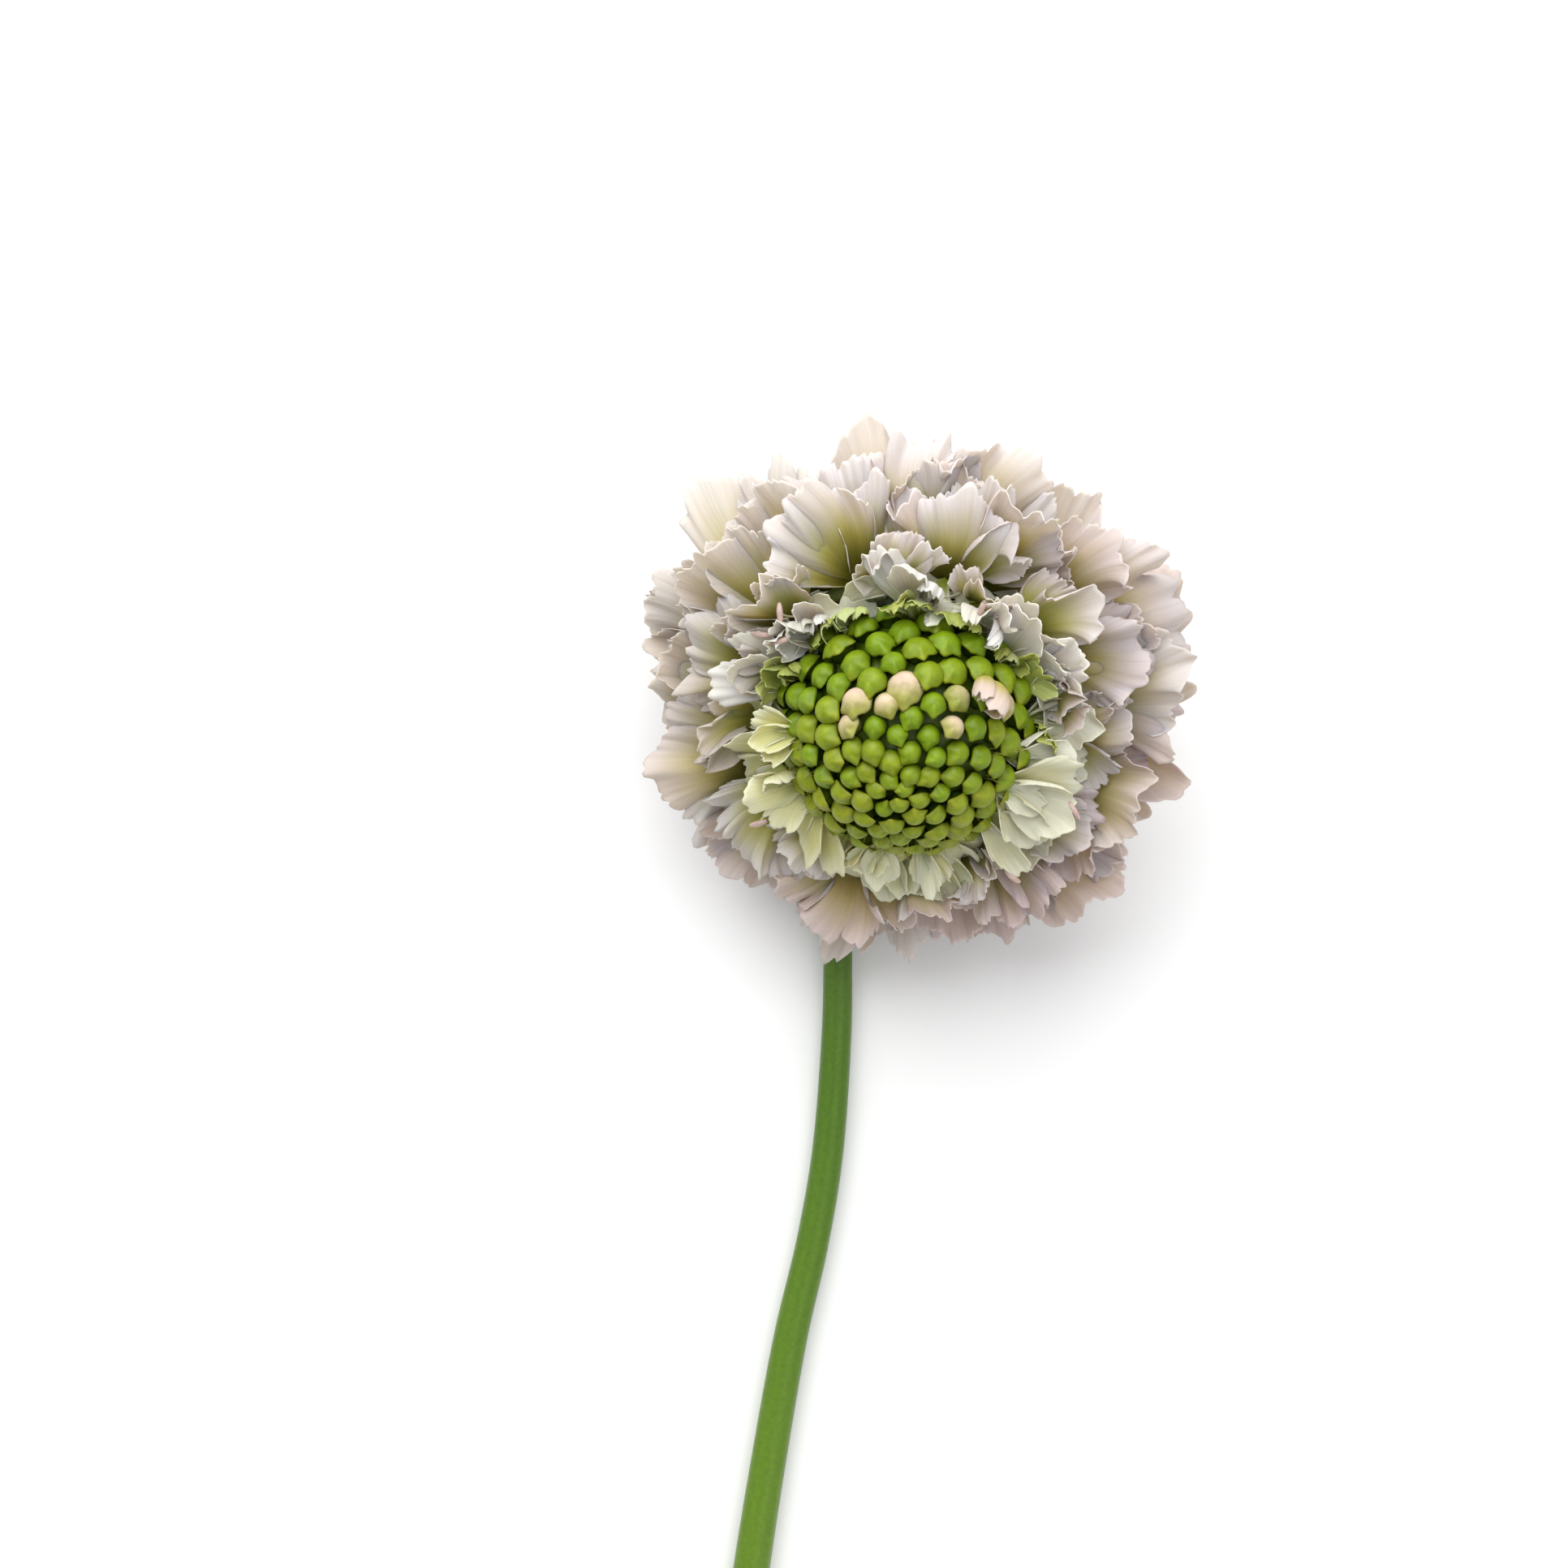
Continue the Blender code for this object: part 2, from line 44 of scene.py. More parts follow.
# Closed buds
BUD_ANGLES = np.radians((0.0, 20.0, 45.0, 97.0))
BUD_SPACING = np.array((2.7, 3.2, 3.8, 4.7)) * MM
YOUNGEST_LEANS = radians(8.0)
BUD_RIM = radians(88.0)
BUD_HEIGHT = 2.6 * MM

# Florets, from the outermost to the innermost: the share of the way in, and what holds there
FLORETS = 46
FLORET_SEED = 11
RIPE = (0.00, 0.20, 0.40, 0.60, 0.80, 1.00)
ROOT_RADIUS = np.array((13.5, 16.8, 18.9, 19.9, 20.0, 19.2)) * MM
ROOT_HEIGHT = np.array((1.0, 3.6, 6.8, 9.8, 12.2, 13.6)) * MM
RISE = np.radians((-6.0, 5.0, 16.0, 27.0, 42.0, 66.0))
LOBE_LENGTH = np.array((25.0, 22.5, 19.5, 16.0, 12.0, 9.0)) * MM
BEND = np.radians((-16.0, -16.0, -24.0, -32.0, -34.0, -20.0))
HALF_SPAN = np.radians((52.0, 55.0, 58.0, 60.0, 58.0, 54.0))
WAVE_HEIGHT = (0.055, 0.055, 0.060, 0.065, 0.070, 0.080)
ROOT_SUNK = 1.8 * MM
DROOP_TOWARDS_SURFACE = radians(26.0)

# What the fine petals add to those
DETAIL_SEED = 23
LOBE_PLACES = (-0.58, 0.0, 0.58)  # of the three lobes' midribs, in shares of the fan's half span
LOBE_WIDTHS = (0.46, 0.66, 0.46)  # from midrib to side, in the same shares
TOOTH_COLUMNS = (2, 6)  # a tooth of the margin has from 2 to 5 grid columns
TOOTH_DEPTH = 0.58 * MM
PLEAT_HEIGHT = 0.045 * MM
SIDE_REACH = 0.42  # how far out the margin meets a lobe's side, as a share of its length
RUFFLE = 1.35 * MM  # height of the short waves along the margin of a lobe 20 mm long
RUFFLES = (  # share of that height, power of the way out, waves to a long wave, wander and slant
    (1.00, 4, 0.9, 1.0, 1.2),
    (0.45, 7, 2.2, 1.6, 2.0),
    (0.21, 9, 5.4, 2.4, 0.0),
)
LOBE_TWIST = 0.20  # slope of a lobe across its own midrib, at most
PETAL_THIN, PETAL_THICK = 0.10 * MM, 0.40 * MM
STEM_REACHES_UP = 16 * MM  # points higher than this are left where they are
STEM_CLEARANCE = 0.45 * MM


def bloom_axes():
    """The bloom's own directions: across it, up it, and out of its face."""
    face = np.array((-tan(BLOOM_LEANS), -tan(BLOOM_NODS), 1.0))
    face /= np.linalg.norm(face)
    across = np.array((1.0, 0.0, 0.0)) - face * face[0]
    across /= np.linalg.norm(across)
    return across, np.cross(face, across), face


ACROSS, UP, FACE = bloom_axes()


def outward(azimuth):
    """Unit vectors square to the bloom's axis, at these angles round it."""
    return np.multiply.outer(np.cos(azimuth), ACROSS) + np.multiply.outer(np.sin(azimuth), UP)


def bloom_point(radius, azimuth, height):
    """Points given by radius, angle round the bloom's axis and height along it."""
    return BLOOM_BASE + np.asarray(radius)[..., None] * outward(azimuth) + np.multiply.outer(height, FACE)


BOSS_CENTRE = bloom_point(0.0, 0.0, BOSS_CENTRE_HEIGHT)


def leaned(first, second, angle):
    """first turned towards second by angle, and second turned with it. Each may be a list of vectors."""
    ahead, aside = np.cos(angle)[..., None], np.sin(angle)[..., None]
    return first * ahead + second * aside, second * ahead - first * aside


def smooth(low, high, value):
    """0 below low, 1 above high, and an even S between."""
    share = np.clip((value - low) / (high - low), 0.0, 1.0)
    return share * share * (3 - 2 * share)


def unit(vectors):
    """The same directions, each with length 1."""
    return vectors / np.maximum(np.linalg.norm(vectors, axis=-1, keepdims=True), 1e-12)


def mix(first, second, share):
    """Colours between two, by share, with the colour as the last axis."""
    return np.asarray(first) + (np.asarray(second) - np.asarray(first)) * np.asarray(share)[..., None]


# Meshes


def put_piece(name, points, faces, colours, finish, nodes=(), flat=0, uv=None):
    """A mesh of points and arrays of faces as a piece of the flower.

    colours has one colour for each point, or one for all. The last faces, as many as flat, are shaded flat.
    """
    colours = np.broadcast_to(colours, points.shape).reshape(-1, 3)
    points = points.reshape(-1, 3)
    mesh = bpy.data.meshes.new(name)
    counts = np.concatenate([np.full(len(part), part.shape[1]) for part in faces])
    corners = np.concatenate([part.ravel() for part in faces]).astype(np.int32)
    mesh.vertices.add(len(points))
    mesh.vertices.foreach_set("co", points.astype(np.float32).ravel())
    mesh.loops.add(len(corners))
    mesh.loops.foreach_set("vertex_index", corners)
    mesh.polygons.add(len(counts))
    mesh.polygons.foreach_set("loop_start", np.concatenate([[0], np.cumsum(counts)[:-1]]).astype(np.int32))
    is_smooth = np.ones(len(counts), bool)
    is_smooth[len(counts) - flat :] = False
    mesh.polygons.foreach_set("use_smooth", is_smooth)
    mesh.update(calc_edges=True)
    mesh.validate()
    tint = mesh.color_attributes.new("tint", "FLOAT_COLOR", "POINT")
    rgba = np.concatenate([colours, np.ones((len(points), 1))], axis=1)
    tint.data.foreach_set("color", rgba.astype(np.float32).ravel())
    if uv is not None:
        mesh.uv_layers.new(name="veins").data.foreach_set("uv", uv[corners].astype(np.float32).ravel())
    mesh.materials.append(finish)
    piece = bpy.data.objects.new(name, mesh)
    bpy.context.scene.collection.objects.link(piece)
    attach(piece, "root")
    if nodes:
        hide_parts(*nodes)


def grid_faces(index, wrap=False):
    """Quads of an index grid whose last two axes are rows and columns.

    wrap joins the last column to the first.
    """
    if wrap:
        index = np.concatenate([index, index[..., :1]], axis=-1)
    corners = (index[..., :-1, :-1], index[..., 1:, :-1], index[..., 1:, 1:], index[..., :-1, 1:])
    return np.stack(corners, axis=-1).reshape(-1, 4)


def thin_shells(middle, thickness):
    """Closed thin blades round middle surfaces. Each face lies half the thickness off along the normal.

    middle is blade, row, column, xyz. Returns the points, the quads of the faces and those of the rims.
    """
    along = np.gradient(middle, axis=1)
    across = np.gradient(middle, axis=2)
    half = unit(np.cross(along, across)) * (thickness / 2)[..., None]
    points = np.concatenate([(middle + half).reshape(-1, 3), (middle - half).reshape(-1, 3)])
    top = np.arange(middle[..., 0].size).reshape(middle.shape[:3])
    under = top + top.size
    around = np.concatenate([top[:, 0, :-1], top[:, :-1, -1], top[:, -1, :0:-1], top[:, :0:-1, 0]], axis=1)
    following = np.roll(around, -1, axis=1)
    rim = np.stack([around, following, following + top.size, around + top.size], axis=-1).reshape(-1, 4)
    return points, np.concatenate([grid_faces(top), grid_faces(under)[:, ::-1]]), rim


def closed_tubes(shape):
    """Faces of tubes with closed ends. shape counts the tubes, the rings of each and the points of a ring.

    An end is closed by a fan of triangles round its ring's first point.
    """
    index = np.arange(prod(shape)).reshape(shape)
    walls = grid_faces(index, wrap=True)[:, ::-1]
    first, last = index[:, 0], index[:, -1]
    fan = range(1, shape[2] - 1)
    caps = [np.stack([first[:, 0], first[:, k], first[:, k + 1]], axis=-1) for k in fan]
    caps += [np.stack([last[:, 0], last[:, k + 1], last[:, k]], axis=-1) for k in fan]
    return [walls, np.concatenate(caps)]


# Materials


def new_material(name):
    """A material with its shader, a function that adds a node, and one that fills a node's sockets."""
    made = bpy.data.materials.new(name)
    made.use_nodes = True
    tree = made.node_tree

    def fill(node, inputs):
        for key, value in inputs.items():
            if isinstance(value, bpy.types.NodeSocket):
                tree.links.new(value, node.inputs[key])
            else:
                node.inputs[key].default_value = value
        return node

    def add(kind, inputs=None, **settings):
        added = tree.nodes.new(kind)
        for key, value in settings.items():
            setattr(added, key, value)
        return fill(added, inputs or {})

    return made, tree.nodes["Principled BSDF"], add, fill


def multiplied(add, colour, tone, share=1.0):
    """A colour multiplied by another one or by a number, in this share."""
    inputs = {"Factor": share, "A": colour, "B": tone}
    return add("ShaderNodeMix", inputs, data_type="RGBA", blend_type="MULTIPLY").outputs["Result"]


def ranged(add, value, low, high, least, most):
    """A number that goes from least to most as value goes from low to high."""
    inputs = {"Value": value, "From Min": low, "From Max": high, "To Min": least, "To Max": most}
    return add("ShaderNodeMapRange", inputs).outputs["Result"]


def relief(add, height, strength, depth):
    """The direction that a surface faces when it stands out as height says."""
    inputs = {"Height": height, "Strength": strength, "Distance": depth}
    return add("ShaderNodeBump", inputs).outputs["Normal"]


def petal_material(name, veining, flush):
    """Thin petal with its tint from the mesh, lit through, and fine veins that run from throat to margin.

    veining is how much darker a vein is. flush is what soft blotches multiply the tint by.
    """
    made, shader, add, fill = new_material(name)
    tint = add("ShaderNodeVertexColor", layer_name="tint").outputs["Color"]
    uv = add("ShaderNodeUVMap", uv_map="veins").outputs["UV"]
    stretched = add("ShaderNodeMapping", {"Vector": uv, "Scale": (26.0, 1.3, 1.0)}).outputs["Vector"]
    veins = add("ShaderNodeTexNoise", {"Vector": stretched, "Scale": 1.0, "Detail": 4.0}).outputs["Fac"]
    place = add("ShaderNodeTexCoord").outputs["Object"]
    blotch = add("ShaderNodeTexNoise", {"Vector": place, "Scale": 170.0, "Detail": 3.0}).outputs["Fac"]
    veined = multiplied(add, tint, ranged(add, veins, 0.30, 0.70, 1 - veining, 1.02))
    sockets = {
        "Base Color": multiplied(add, veined, (*flush, 1.0), ranged(add, blotch, 0.45, 0.75, 0.0, 0.22)),
        "Normal": relief(add, veins, 0.35, 0.12 * MM),
        "Roughness": 0.58,
        "Specular IOR Level": 0.18,
        "Subsurface Weight": 0.40,
        "Subsurface Radius": (1.0, 0.72, 0.40),
        "Subsurface Scale": 1.1 * MM,
    }
    fill(shader, sockets)
    return made


def plant_material(name, mottle, roughness, fineness, depth, gloss=0.0):
    """Green plant skin: its tint from the mesh, a fine mottle in colour and relief, and a soft waxy gloss.

    mottle is the most that a spot is lighter or darker. fineness counts spots to a metre.
    """
    made, shader, add, fill = new_material(name)
    tint = add("ShaderNodeVertexColor", layer_name="tint").outputs["Color"]
    place = add("ShaderNodeTexCoord").outputs["Object"]
    speckle = add("ShaderNodeTexNoise", {"Vector": place, "Scale": fineness, "Detail": 4.0}).outputs["Fac"]
    sockets = {
        "Base Color": multiplied(add, tint, ranged(add, speckle, 0.3, 0.7, 1 - mottle, 1 + mottle)),
        "Normal": relief(add, speckle, 0.4, depth),
        "Roughness": roughness,
        "Specular IOR Level": 0.28,
        "Subsurface Weight": 0.15,
        "Subsurface Radius": (0.6, 1.0, 0.3),
        "Subsurface Scale": 0.5 * MM,
        "Coat Weight": gloss,
        "Coat Roughness": 0.35,
    }
    fill(shader, sockets)
    return made


# Open florets

WHITE = (0.77, 0.72, 0.69)
WARM_WHITE = (0.76, 0.735, 0.575)
SHELL = (0.655, 0.55, 0.495)
BLUSH = (0.61, 0.45, 0.485)
CREAM = (0.40, 0.345, 0.075)
ROSE = (0.375, 0.28, 0.135)
# olive of the throats and the small florets' feet: partly their own colour and partly painted shade deep in
# the bloom
OLIVE_AND_SHADE = (0.115, 0.110, 0.008)
LIME = (0.27, 0.36, 0.018)
PALE_GREEN = (0.39, 0.40, 0.11)
GREEN_CREAM = (0.66, 0.65, 0.32)


def open_florets():
    """Every floret's place, directions and shape. They stand round the core by the golden angle.

    The first is the outermost. Each size follows the way in, with a random share of its own on top.
    """
    draw = np.random.default_rng(FLORET_SEED).uniform(-1.0, 1.0, (FLORETS, 16)).T
    number = np.arange(FLORETS)
    ripe = number / (FLORETS - 1)
    azimuth = number * GOLDEN_ANGLE + radians(6.0) * draw[0]
    out = outward(azimuth)
    low = np.maximum(0.0, -out[:, 2] / 0.4) * np.maximum(0.0, 1 - ripe / 0.25)
    rise = np.interp(ripe, RIPE, RISE) + np.radians(6.0 + 14.0 * ripe**2) * draw[1]
    facing = np.broadcast_to(FACE, out.shape)
    ahead, face = leaned(out, facing, rise)
    side = np.cross(FACE, out)
    root = bloom_point(np.interp(ripe, RIPE, ROOT_RADIUS), azimuth, np.zeros(FLORETS))
    root = root + np.multiply.outer(np.interp(ripe, RIPE, ROOT_HEIGHT), FACE) - ROOT_SUNK * ahead
    ahead, side = leaned(ahead, side, radians(13.0) * draw[2])
    side, face = leaned(side, face, radians(15.0) * draw[3])
    length = np.interp(ripe, RIPE, LOBE_LENGTH) * (1 + 0.07 * draw[4])
    bend = np.interp(ripe, RIPE, BEND) + radians(12.0) * draw[5] - DROOP_TOWARDS_SURFACE * low
    return {
        "ripe": ripe,
        "azimuth": azimuth,
        "root": root,
        "out": ahead,
        "side": side,
        "face": face,
        "length": length,
        "bend": np.where(np.abs(bend) > 0.02, bend, 0.02),
        "half_span": np.interp(ripe, RIPE, HALF_SPAN) * (1 + 0.08 * draw[6]),
        "lobe_lengths": length[:, None] * (np.array((0.88, 1.0, 0.88)) + 0.07 * draw[7:10].T),
        "lobe_pitches": 0.20 * draw[10:13].T,
        "trough": 0.12 + 0.14 * draw[13],
        "cup": 0.025 * length,
        "wave_height": length * np.interp(ripe, RIPE, WAVE_HEIGHT),
        "waves": 3.6 + 0.7 * draw[14],
        "phase": pi * draw[15],
    }


def teeth(chance, lobes, columns):
    """For each lobe and column, a number that grows by 1 with each tooth along the margin."""
    widths = chance.integers(*TOOTH_COLUMNS, (lobes, columns))
    ends = np.cumsum(widths, axis=1)
    place = np.arange(columns)
    return np.stack([np.interp(place, np.concatenate([[0], row]), np.arange(columns + 1)) for row in ends])


def between_lobes(three, across):
    """A value given for the three lobes' middles, read evenly between them.

    across goes from -1 to 1 over the fan.
    """
    share = np.clip(np.abs(across) * 1.5, 0.0, 1.0)
    end = np.where(across > 0, three[:, 2, None, None], three[:, 0, None, None])
    return three[:, 1, None, None] + share * (end - three[:, 1, None, None])


def lobe_surfaces(florets, lobe, rows, columns, chance, curl_spread, frill=1.0, rounding=3.2):
    """One lobe of every floret as a fine surface, the same fan as its solid with finer waves on it.

    A point lies along its own ray of the fan, and the rays sway to one side as they go out. Its distance from
    the root grows with the row, and the margin is rounded off at the lobe's sides and drawn in by slow random
    waves and by teeth. The fan's bend is added up along the ray, with an extra curl near the margin. The lift
    off that bent sheet is the sum of the fan's long wave, three shorter random waves that grow towards the
    margin, pleats that follow the teeth, the trough, and each lobe's own pitch and twist.

    curl_spread is the most that a tip curls, frill scales the short waves, and a larger rounding leaves the
    lobe's end squarer.
    """
    n = len(florets["ripe"])

    def each(key):
        return florets[key][:, None, None]

    def draw(spread):
        return chance.uniform(-1.0, 1.0, n)[:, None, None] * spread

    length, half_span = each("length"), each("half_span")
    along = 1 - (1 - np.linspace(0.0, 1.0, rows)) ** 1.35
    along = (0.06 + 0.94 * along)[None, :, None]
    even = np.linspace(-1.0, 1.0, columns)[None, None, :]
    from_middle = np.sign(even) * (1 - (1 - np.abs(even)) ** 1.3)
    across = LOBE_PLACES[lobe] + from_middle * LOBE_WIDTHS[lobe]
    sway = draw(0.15) * along**2 + 0.06 * along * np.sin(4.5 * along + draw(pi))
    angle = half_span * across + sway
    tooth = teeth(chance, n, columns)[:, None, :]
    depth = TOOTH_DEPTH * (0.8 + 0.6 * np.sin(2.1 * tooth + draw(pi)))
    scale = length / (20 * MM)
    notch = depth * scale**0.7 * (1 - np.abs(np.sin(pi * tooth)) ** 0.7)
    slow = np.sin(3.1 * pi * from_middle + draw(pi))
    slow += 0.7 * np.sin(5.7 * pi * from_middle + draw(pi))
    rounded = np.sqrt(1 - np.minimum(np.abs(from_middle), 1.0) ** rounding)
    margin = SIDE_REACH + (1 - SIDE_REACH) * rounded + 0.030 * slow
    reach = between_lobes(florets["lobe_lengths"], across) * along * margin - notch * along**9
    bend = each("bend") * reach / length
    tip_curl = draw(curl_spread) + draw(0.6 * curl_spread) * from_middle
    turned_by = bend + draw(0.45 * curl_spread) * along**2 + tip_curl * along**4
    step = np.diff(reach, axis=1, prepend=0.0)
    halfway = np.concatenate([turned_by[:, :1] / 2, (turned_by[:, 1:] + turned_by[:, :-1]) / 2], axis=1)
    forward = np.cumsum(np.cos(halfway) * step, axis=1)
    upward = np.cumsum(np.sin(halfway) * step, axis=1)
    swing = pi * each("waves") * across + draw(1.1) * along
    lift = each("wave_height") * along**3 * np.sin(swing + each("phase"))
    drift = 1.3 * np.sin(0.9 * swing + draw(pi))
    ruffle = RUFFLE * frill * scale**0.8 * (0.9 + draw(0.4))
    for share, power, rate, wander, climb in RUFFLES:
        wave = rate * swing + wander * drift + draw(pi) + climb * along
        lift += share * ruffle * along**power * np.sin(wave)
    pleats = np.cos(2 * pi * tooth) * (1 + 0.8 * np.sin(1.3 * tooth + draw(pi)))
    lift += PLEAT_HEIGHT * scale**0.7 * smooth(0.62, 1.0, along) * pleats
    lift -= (each("cup") + frill * draw(1.4 * MM) * scale) * along * from_middle**2
    lift += draw(LOBE_TWIST) * reach * half_span * LOBE_WIDTHS[lobe] * from_middle
    lift += each("trough") * (reach * np.sin(angle)) ** 2 / length
    lift += reach * along * between_lobes(florets["lobe_pitches"], across)
    lift += (0.30 * MM if lobe == 1 else -0.15 * MM) * along
    forward -= lift * np.sin(turned_by)
    upward += lift * np.cos(turned_by)
    ahead = np.cos(angle)[..., None] * each("out") + np.sin(angle)[..., None] * each("side")
    points = each("root") + forward[..., None] * ahead + upward[..., None] * each("face")
    shape = points.shape[:3]
    return {
        "points": points,
        "along": np.broadcast_to(along, shape),
        "uv": np.stack([np.broadcast_to(tooth / 8, shape), np.broadcast_to(along, shape)], axis=-1),
    }


def clear_of_boss(points):
    """Points that would lie in the round boss are moved straight out onto it, and rest on its buds."""
    offset = points - BOSS_CENTRE
    distance = np.linalg.norm(offset, axis=-1, keepdims=True)
    nearest = BOSS_RADIUS + SEAT_GAP + PETAL_THICK / 2
    above = (offset @ FACE)[..., None] > 0
    return np.where(above & (distance < nearest), BOSS_CENTRE + offset * nearest / distance, points)


def clear_of_surface(points):
    """Points near the surface that the flower lies on are eased up to lie on it."""
    height = points[..., 2] - FLOOR
    lowest, soft = 0.22 * MM, 1.2 * MM
    eased = lowest + soft * np.exp(np.minimum((height - lowest - soft) / soft, 0.0))
    lifted = np.where(height < lowest + soft, eased, height)
    return np.concatenate([points[..., :2], (lifted + FLOOR)[..., None]], axis=-1)


def clear_of_stem(points, route):
    """Points that would lie in the stem are moved straight out of it, but not down through the surface."""
    near = points[..., 2] < STEM_REACHES_UP
    low = points[near]
    starts, ends = route[:-1, :3], route[1:, :3]
    runs = ends - starts
    share = np.einsum("psk,sk->ps", low[:, None] - starts[None], runs) / np.einsum("sk,sk->s", runs, runs)
    share = np.clip(share, 0.0, 1.0)
    offset = low[:, None] - (starts[None] + share[..., None] * runs[None])
    distance = np.linalg.norm(offset, axis=-1)
    nearest = np.argmin(distance, axis=1)
    pick = np.arange(len(low))
    offset, distance = offset[pick, nearest], distance[pick, nearest]
    room = route[nearest, 3] + STEM_CLEARANCE
    inside = distance < room
    low[inside] += (offset * (room / np.maximum(distance, 1e-9) - 1)[:, None])[inside]
    low[:, 2] = np.maximum(low[:, 2], FLOOR + PETAL_THICK / 2)
    moved = points.copy()
    moved[near] = low
    return moved


def petal_tint(florets, sheet, chance):
    """Colour of each point: olive at the throat, cream or rose halfway, and shell, blush or white outside.

    The outer florets are the most blushed, towards +X and -Y the most. Those towards -X and +Y are creamy,
    and the innermost are pale green halfway. The olive throat is partly the petals' own colour and partly
    painted shade deep in the bloom. Light and shade are painted by the angle round the bloom: the white
    margins are partly the petals' own colour, and whiter towards +Y, where the key light stands, as a painted
    highlight; away from +Y the olive and cream reach farther out as painted shade; and the outer parts to the
    bloom's two sides and away from +Y are darkened as painted shade.
    """
    along, n = sheet["along"], len(florets["ripe"])
    ripe = florets["ripe"][:, None, None]
    azimuth = florets["azimuth"][:, None, None]
    luck = chance.uniform(-1.0, 1.0, (4, n))[:, :, None, None]
    # painted shade by the angle round the bloom: 0 towards +Y, where the key light stands, and 1 towards -Y
    shade = 0.5 - 0.5 * np.sin(azimuth)
    blush = np.clip(0.52 + 0.48 * np.cos(azimuth + 0.6) + 0.30 * luck[0] - 0.35 * ripe, 0, 1)
    green = np.clip(0.10 + 0.85 * smooth(0.45, 1.0, ripe) + 0.30 * luck[1], 0, 1)
    halfway = mix(mix(CREAM, ROSE, blush), PALE_GREEN, green * (1 - 0.6 * blush))
    outer = mix(mix(SHELL, BLUSH, blush), WHITE, np.clip(0.25 + 0.45 * luck[2], 0, 1))
    # painted shade: the outer colour is darker to the bloom's two sides and away from +Y
    outer = outer * (1 - 0.24 * np.cos(azimuth) ** 2 - 0.05 * shade)[..., None]
    # painted shade: away from +Y the cream halfway and the olive throat reach farther out
    colour = mix(halfway, outer, smooth(0.48, 0.95 + 0.06 * luck[3] + 0.08 * shade, along))
    # the throat's olive is partly the petals' own colour and partly painted shade deep in the bloom
    colour = mix(OLIVE_AND_SHADE, colour, smooth(0.20, 0.70 + 0.10 * luck[1] + 0.08 * shade, along))
    # white margins: partly the petals' own colour, and whiter towards +Y as a painted highlight
    return mix(colour, WHITE, (0.34 - 0.20 * shade) * smooth(0.80, 1.0, along))


def upper_lobes(florets):
    """The two short lobes of each floret, which stand at its throat on the side of the boss and curl back."""
    n = len(florets["ripe"])
    chance = np.random.default_rng(DETAIL_SEED + 2).uniform(-1.0, 1.0, (6, n))
    length = (9.0 + 2.0 * chance[0]) * MM
    lean = np.radians(14.0 + 24.0 * chance[1])
    standing, back = leaned(florets["face"], -florets["out"], lean)
    standing, side = leaned(standing, np.cross(-back, standing), 0.35 * chance[4])
    return {
        "ripe": florets["ripe"],
        "root": florets["root"] + (0.06 * florets["length"] + 1.2 * MM)[:, None] * florets["out"],
        "out": standing,
        "side": side,
        "face": -back,
        "length": length,
        "bend": np.radians(48.0 * chance[2] - 48.0),
        "half_span": np.full(n, radians(74.0)),
        "lobe_lengths": length[:, None] * np.ones(3),
        "lobe_pitches": np.zeros((n, 3)),
        "trough": np.full(n, 0.35),
        "cup": -0.05 * length,
        "wave_height": 0.10 * length,
        "waves": 2.0 + 0.5 * chance[3],
        "phase": pi * chance[5],
    }


def boss_florets(turns, polar, length, lean, bend, span, seed):
    """Small florets on the boss's edge, one at each turn round it. Angles are in degrees and lengths in mm.

    polar is the angle from the bloom's face to a floret's foot, and lean is how far its lobes stand from
    straight out of the boss, away from the bloom's axis. These two, like length, bend and span, are a middle
    and a spread.
    """
    n = len(turns)
    chance = np.random.default_rng(seed).uniform(-1.0, 1.0, (14, n))

    def spread(pair, k):
        return np.radians(pair[0] + pair[1] * chance[k])

    azimuth = np.radians(turns) + 0.06 * chance[0]
    around = outward(azimuth)
    facing = np.broadcast_to(FACE, around.shape)
    out, downhill = leaned(facing, around, spread(polar, 1))
    out, _ = leaned(out, np.cross(facing, around), 0.18 * chance[2])
    ahead, back = leaned(out, downhill, spread(lean, 3))
    reach = (length[0] + length[1] * chance[4]) * MM
    ahead, side = leaned(ahead, np.cross(-back, ahead), 0.25 * chance[5])
    return {
        "ripe": np.ones(n),
        "azimuth": azimuth,
        "root": BOSS_CENTRE + (BOSS_RADIUS - 2.4 * MM) * out,
        "out": ahead,
        "side": side,
        "face": -back,
        "length": reach,
        "bend": spread(bend, 6),
        "half_span": spread(span, 7),
        "lobe_lengths": reach[:, None] * (np.array((0.9, 1.0, 0.9)) + 0.1 * chance[8:11].T),
        "lobe_pitches": 0.20 * chance[11:14].T,
        "trough": 0.20 + 0.2 * chance[7],
        "cup": -(0.06 + 0.06 * chance[13]) * reach,
        "wave_height": 0.06 * reach,
        "waves": 2.0 + 0.5 * chance[8],
        "phase": pi * chance[9],
    }


def half_open_florets():
    """Green florets along the boss's upper rim, whose lobes still hook over its edge."""
    return boss_florets(
        turns=(8.0, 22.0, 38.0, 55.0, 74.0, 98.0, 109.0, 134.0, 150.0, 164.0),
        polar=(82.0, 3.0),
        length=(8.2, 1.2),
        lean=(6.0, 10.0),
        bend=(104.0, 26.0),
        span=(46.0, 6.0),
        seed=DETAIL_SEED + 3,
    )


def rim_florets():
    """White young florets over the boss's upper rim, which curl in over it, some more than others."""
    return boss_florets(
        turns=(18.0, 34.0, 50.0, 66.0, 82.0, 124.0, 142.0, 160.0),
        polar=(86.0, 4.0),
        length=(11.6, 1.6),
        lean=(8.0, 12.0),
        bend=(62.0, 48.0),
        span=(46.0, 8.0),
        seed=DETAIL_SEED + 9,
    )


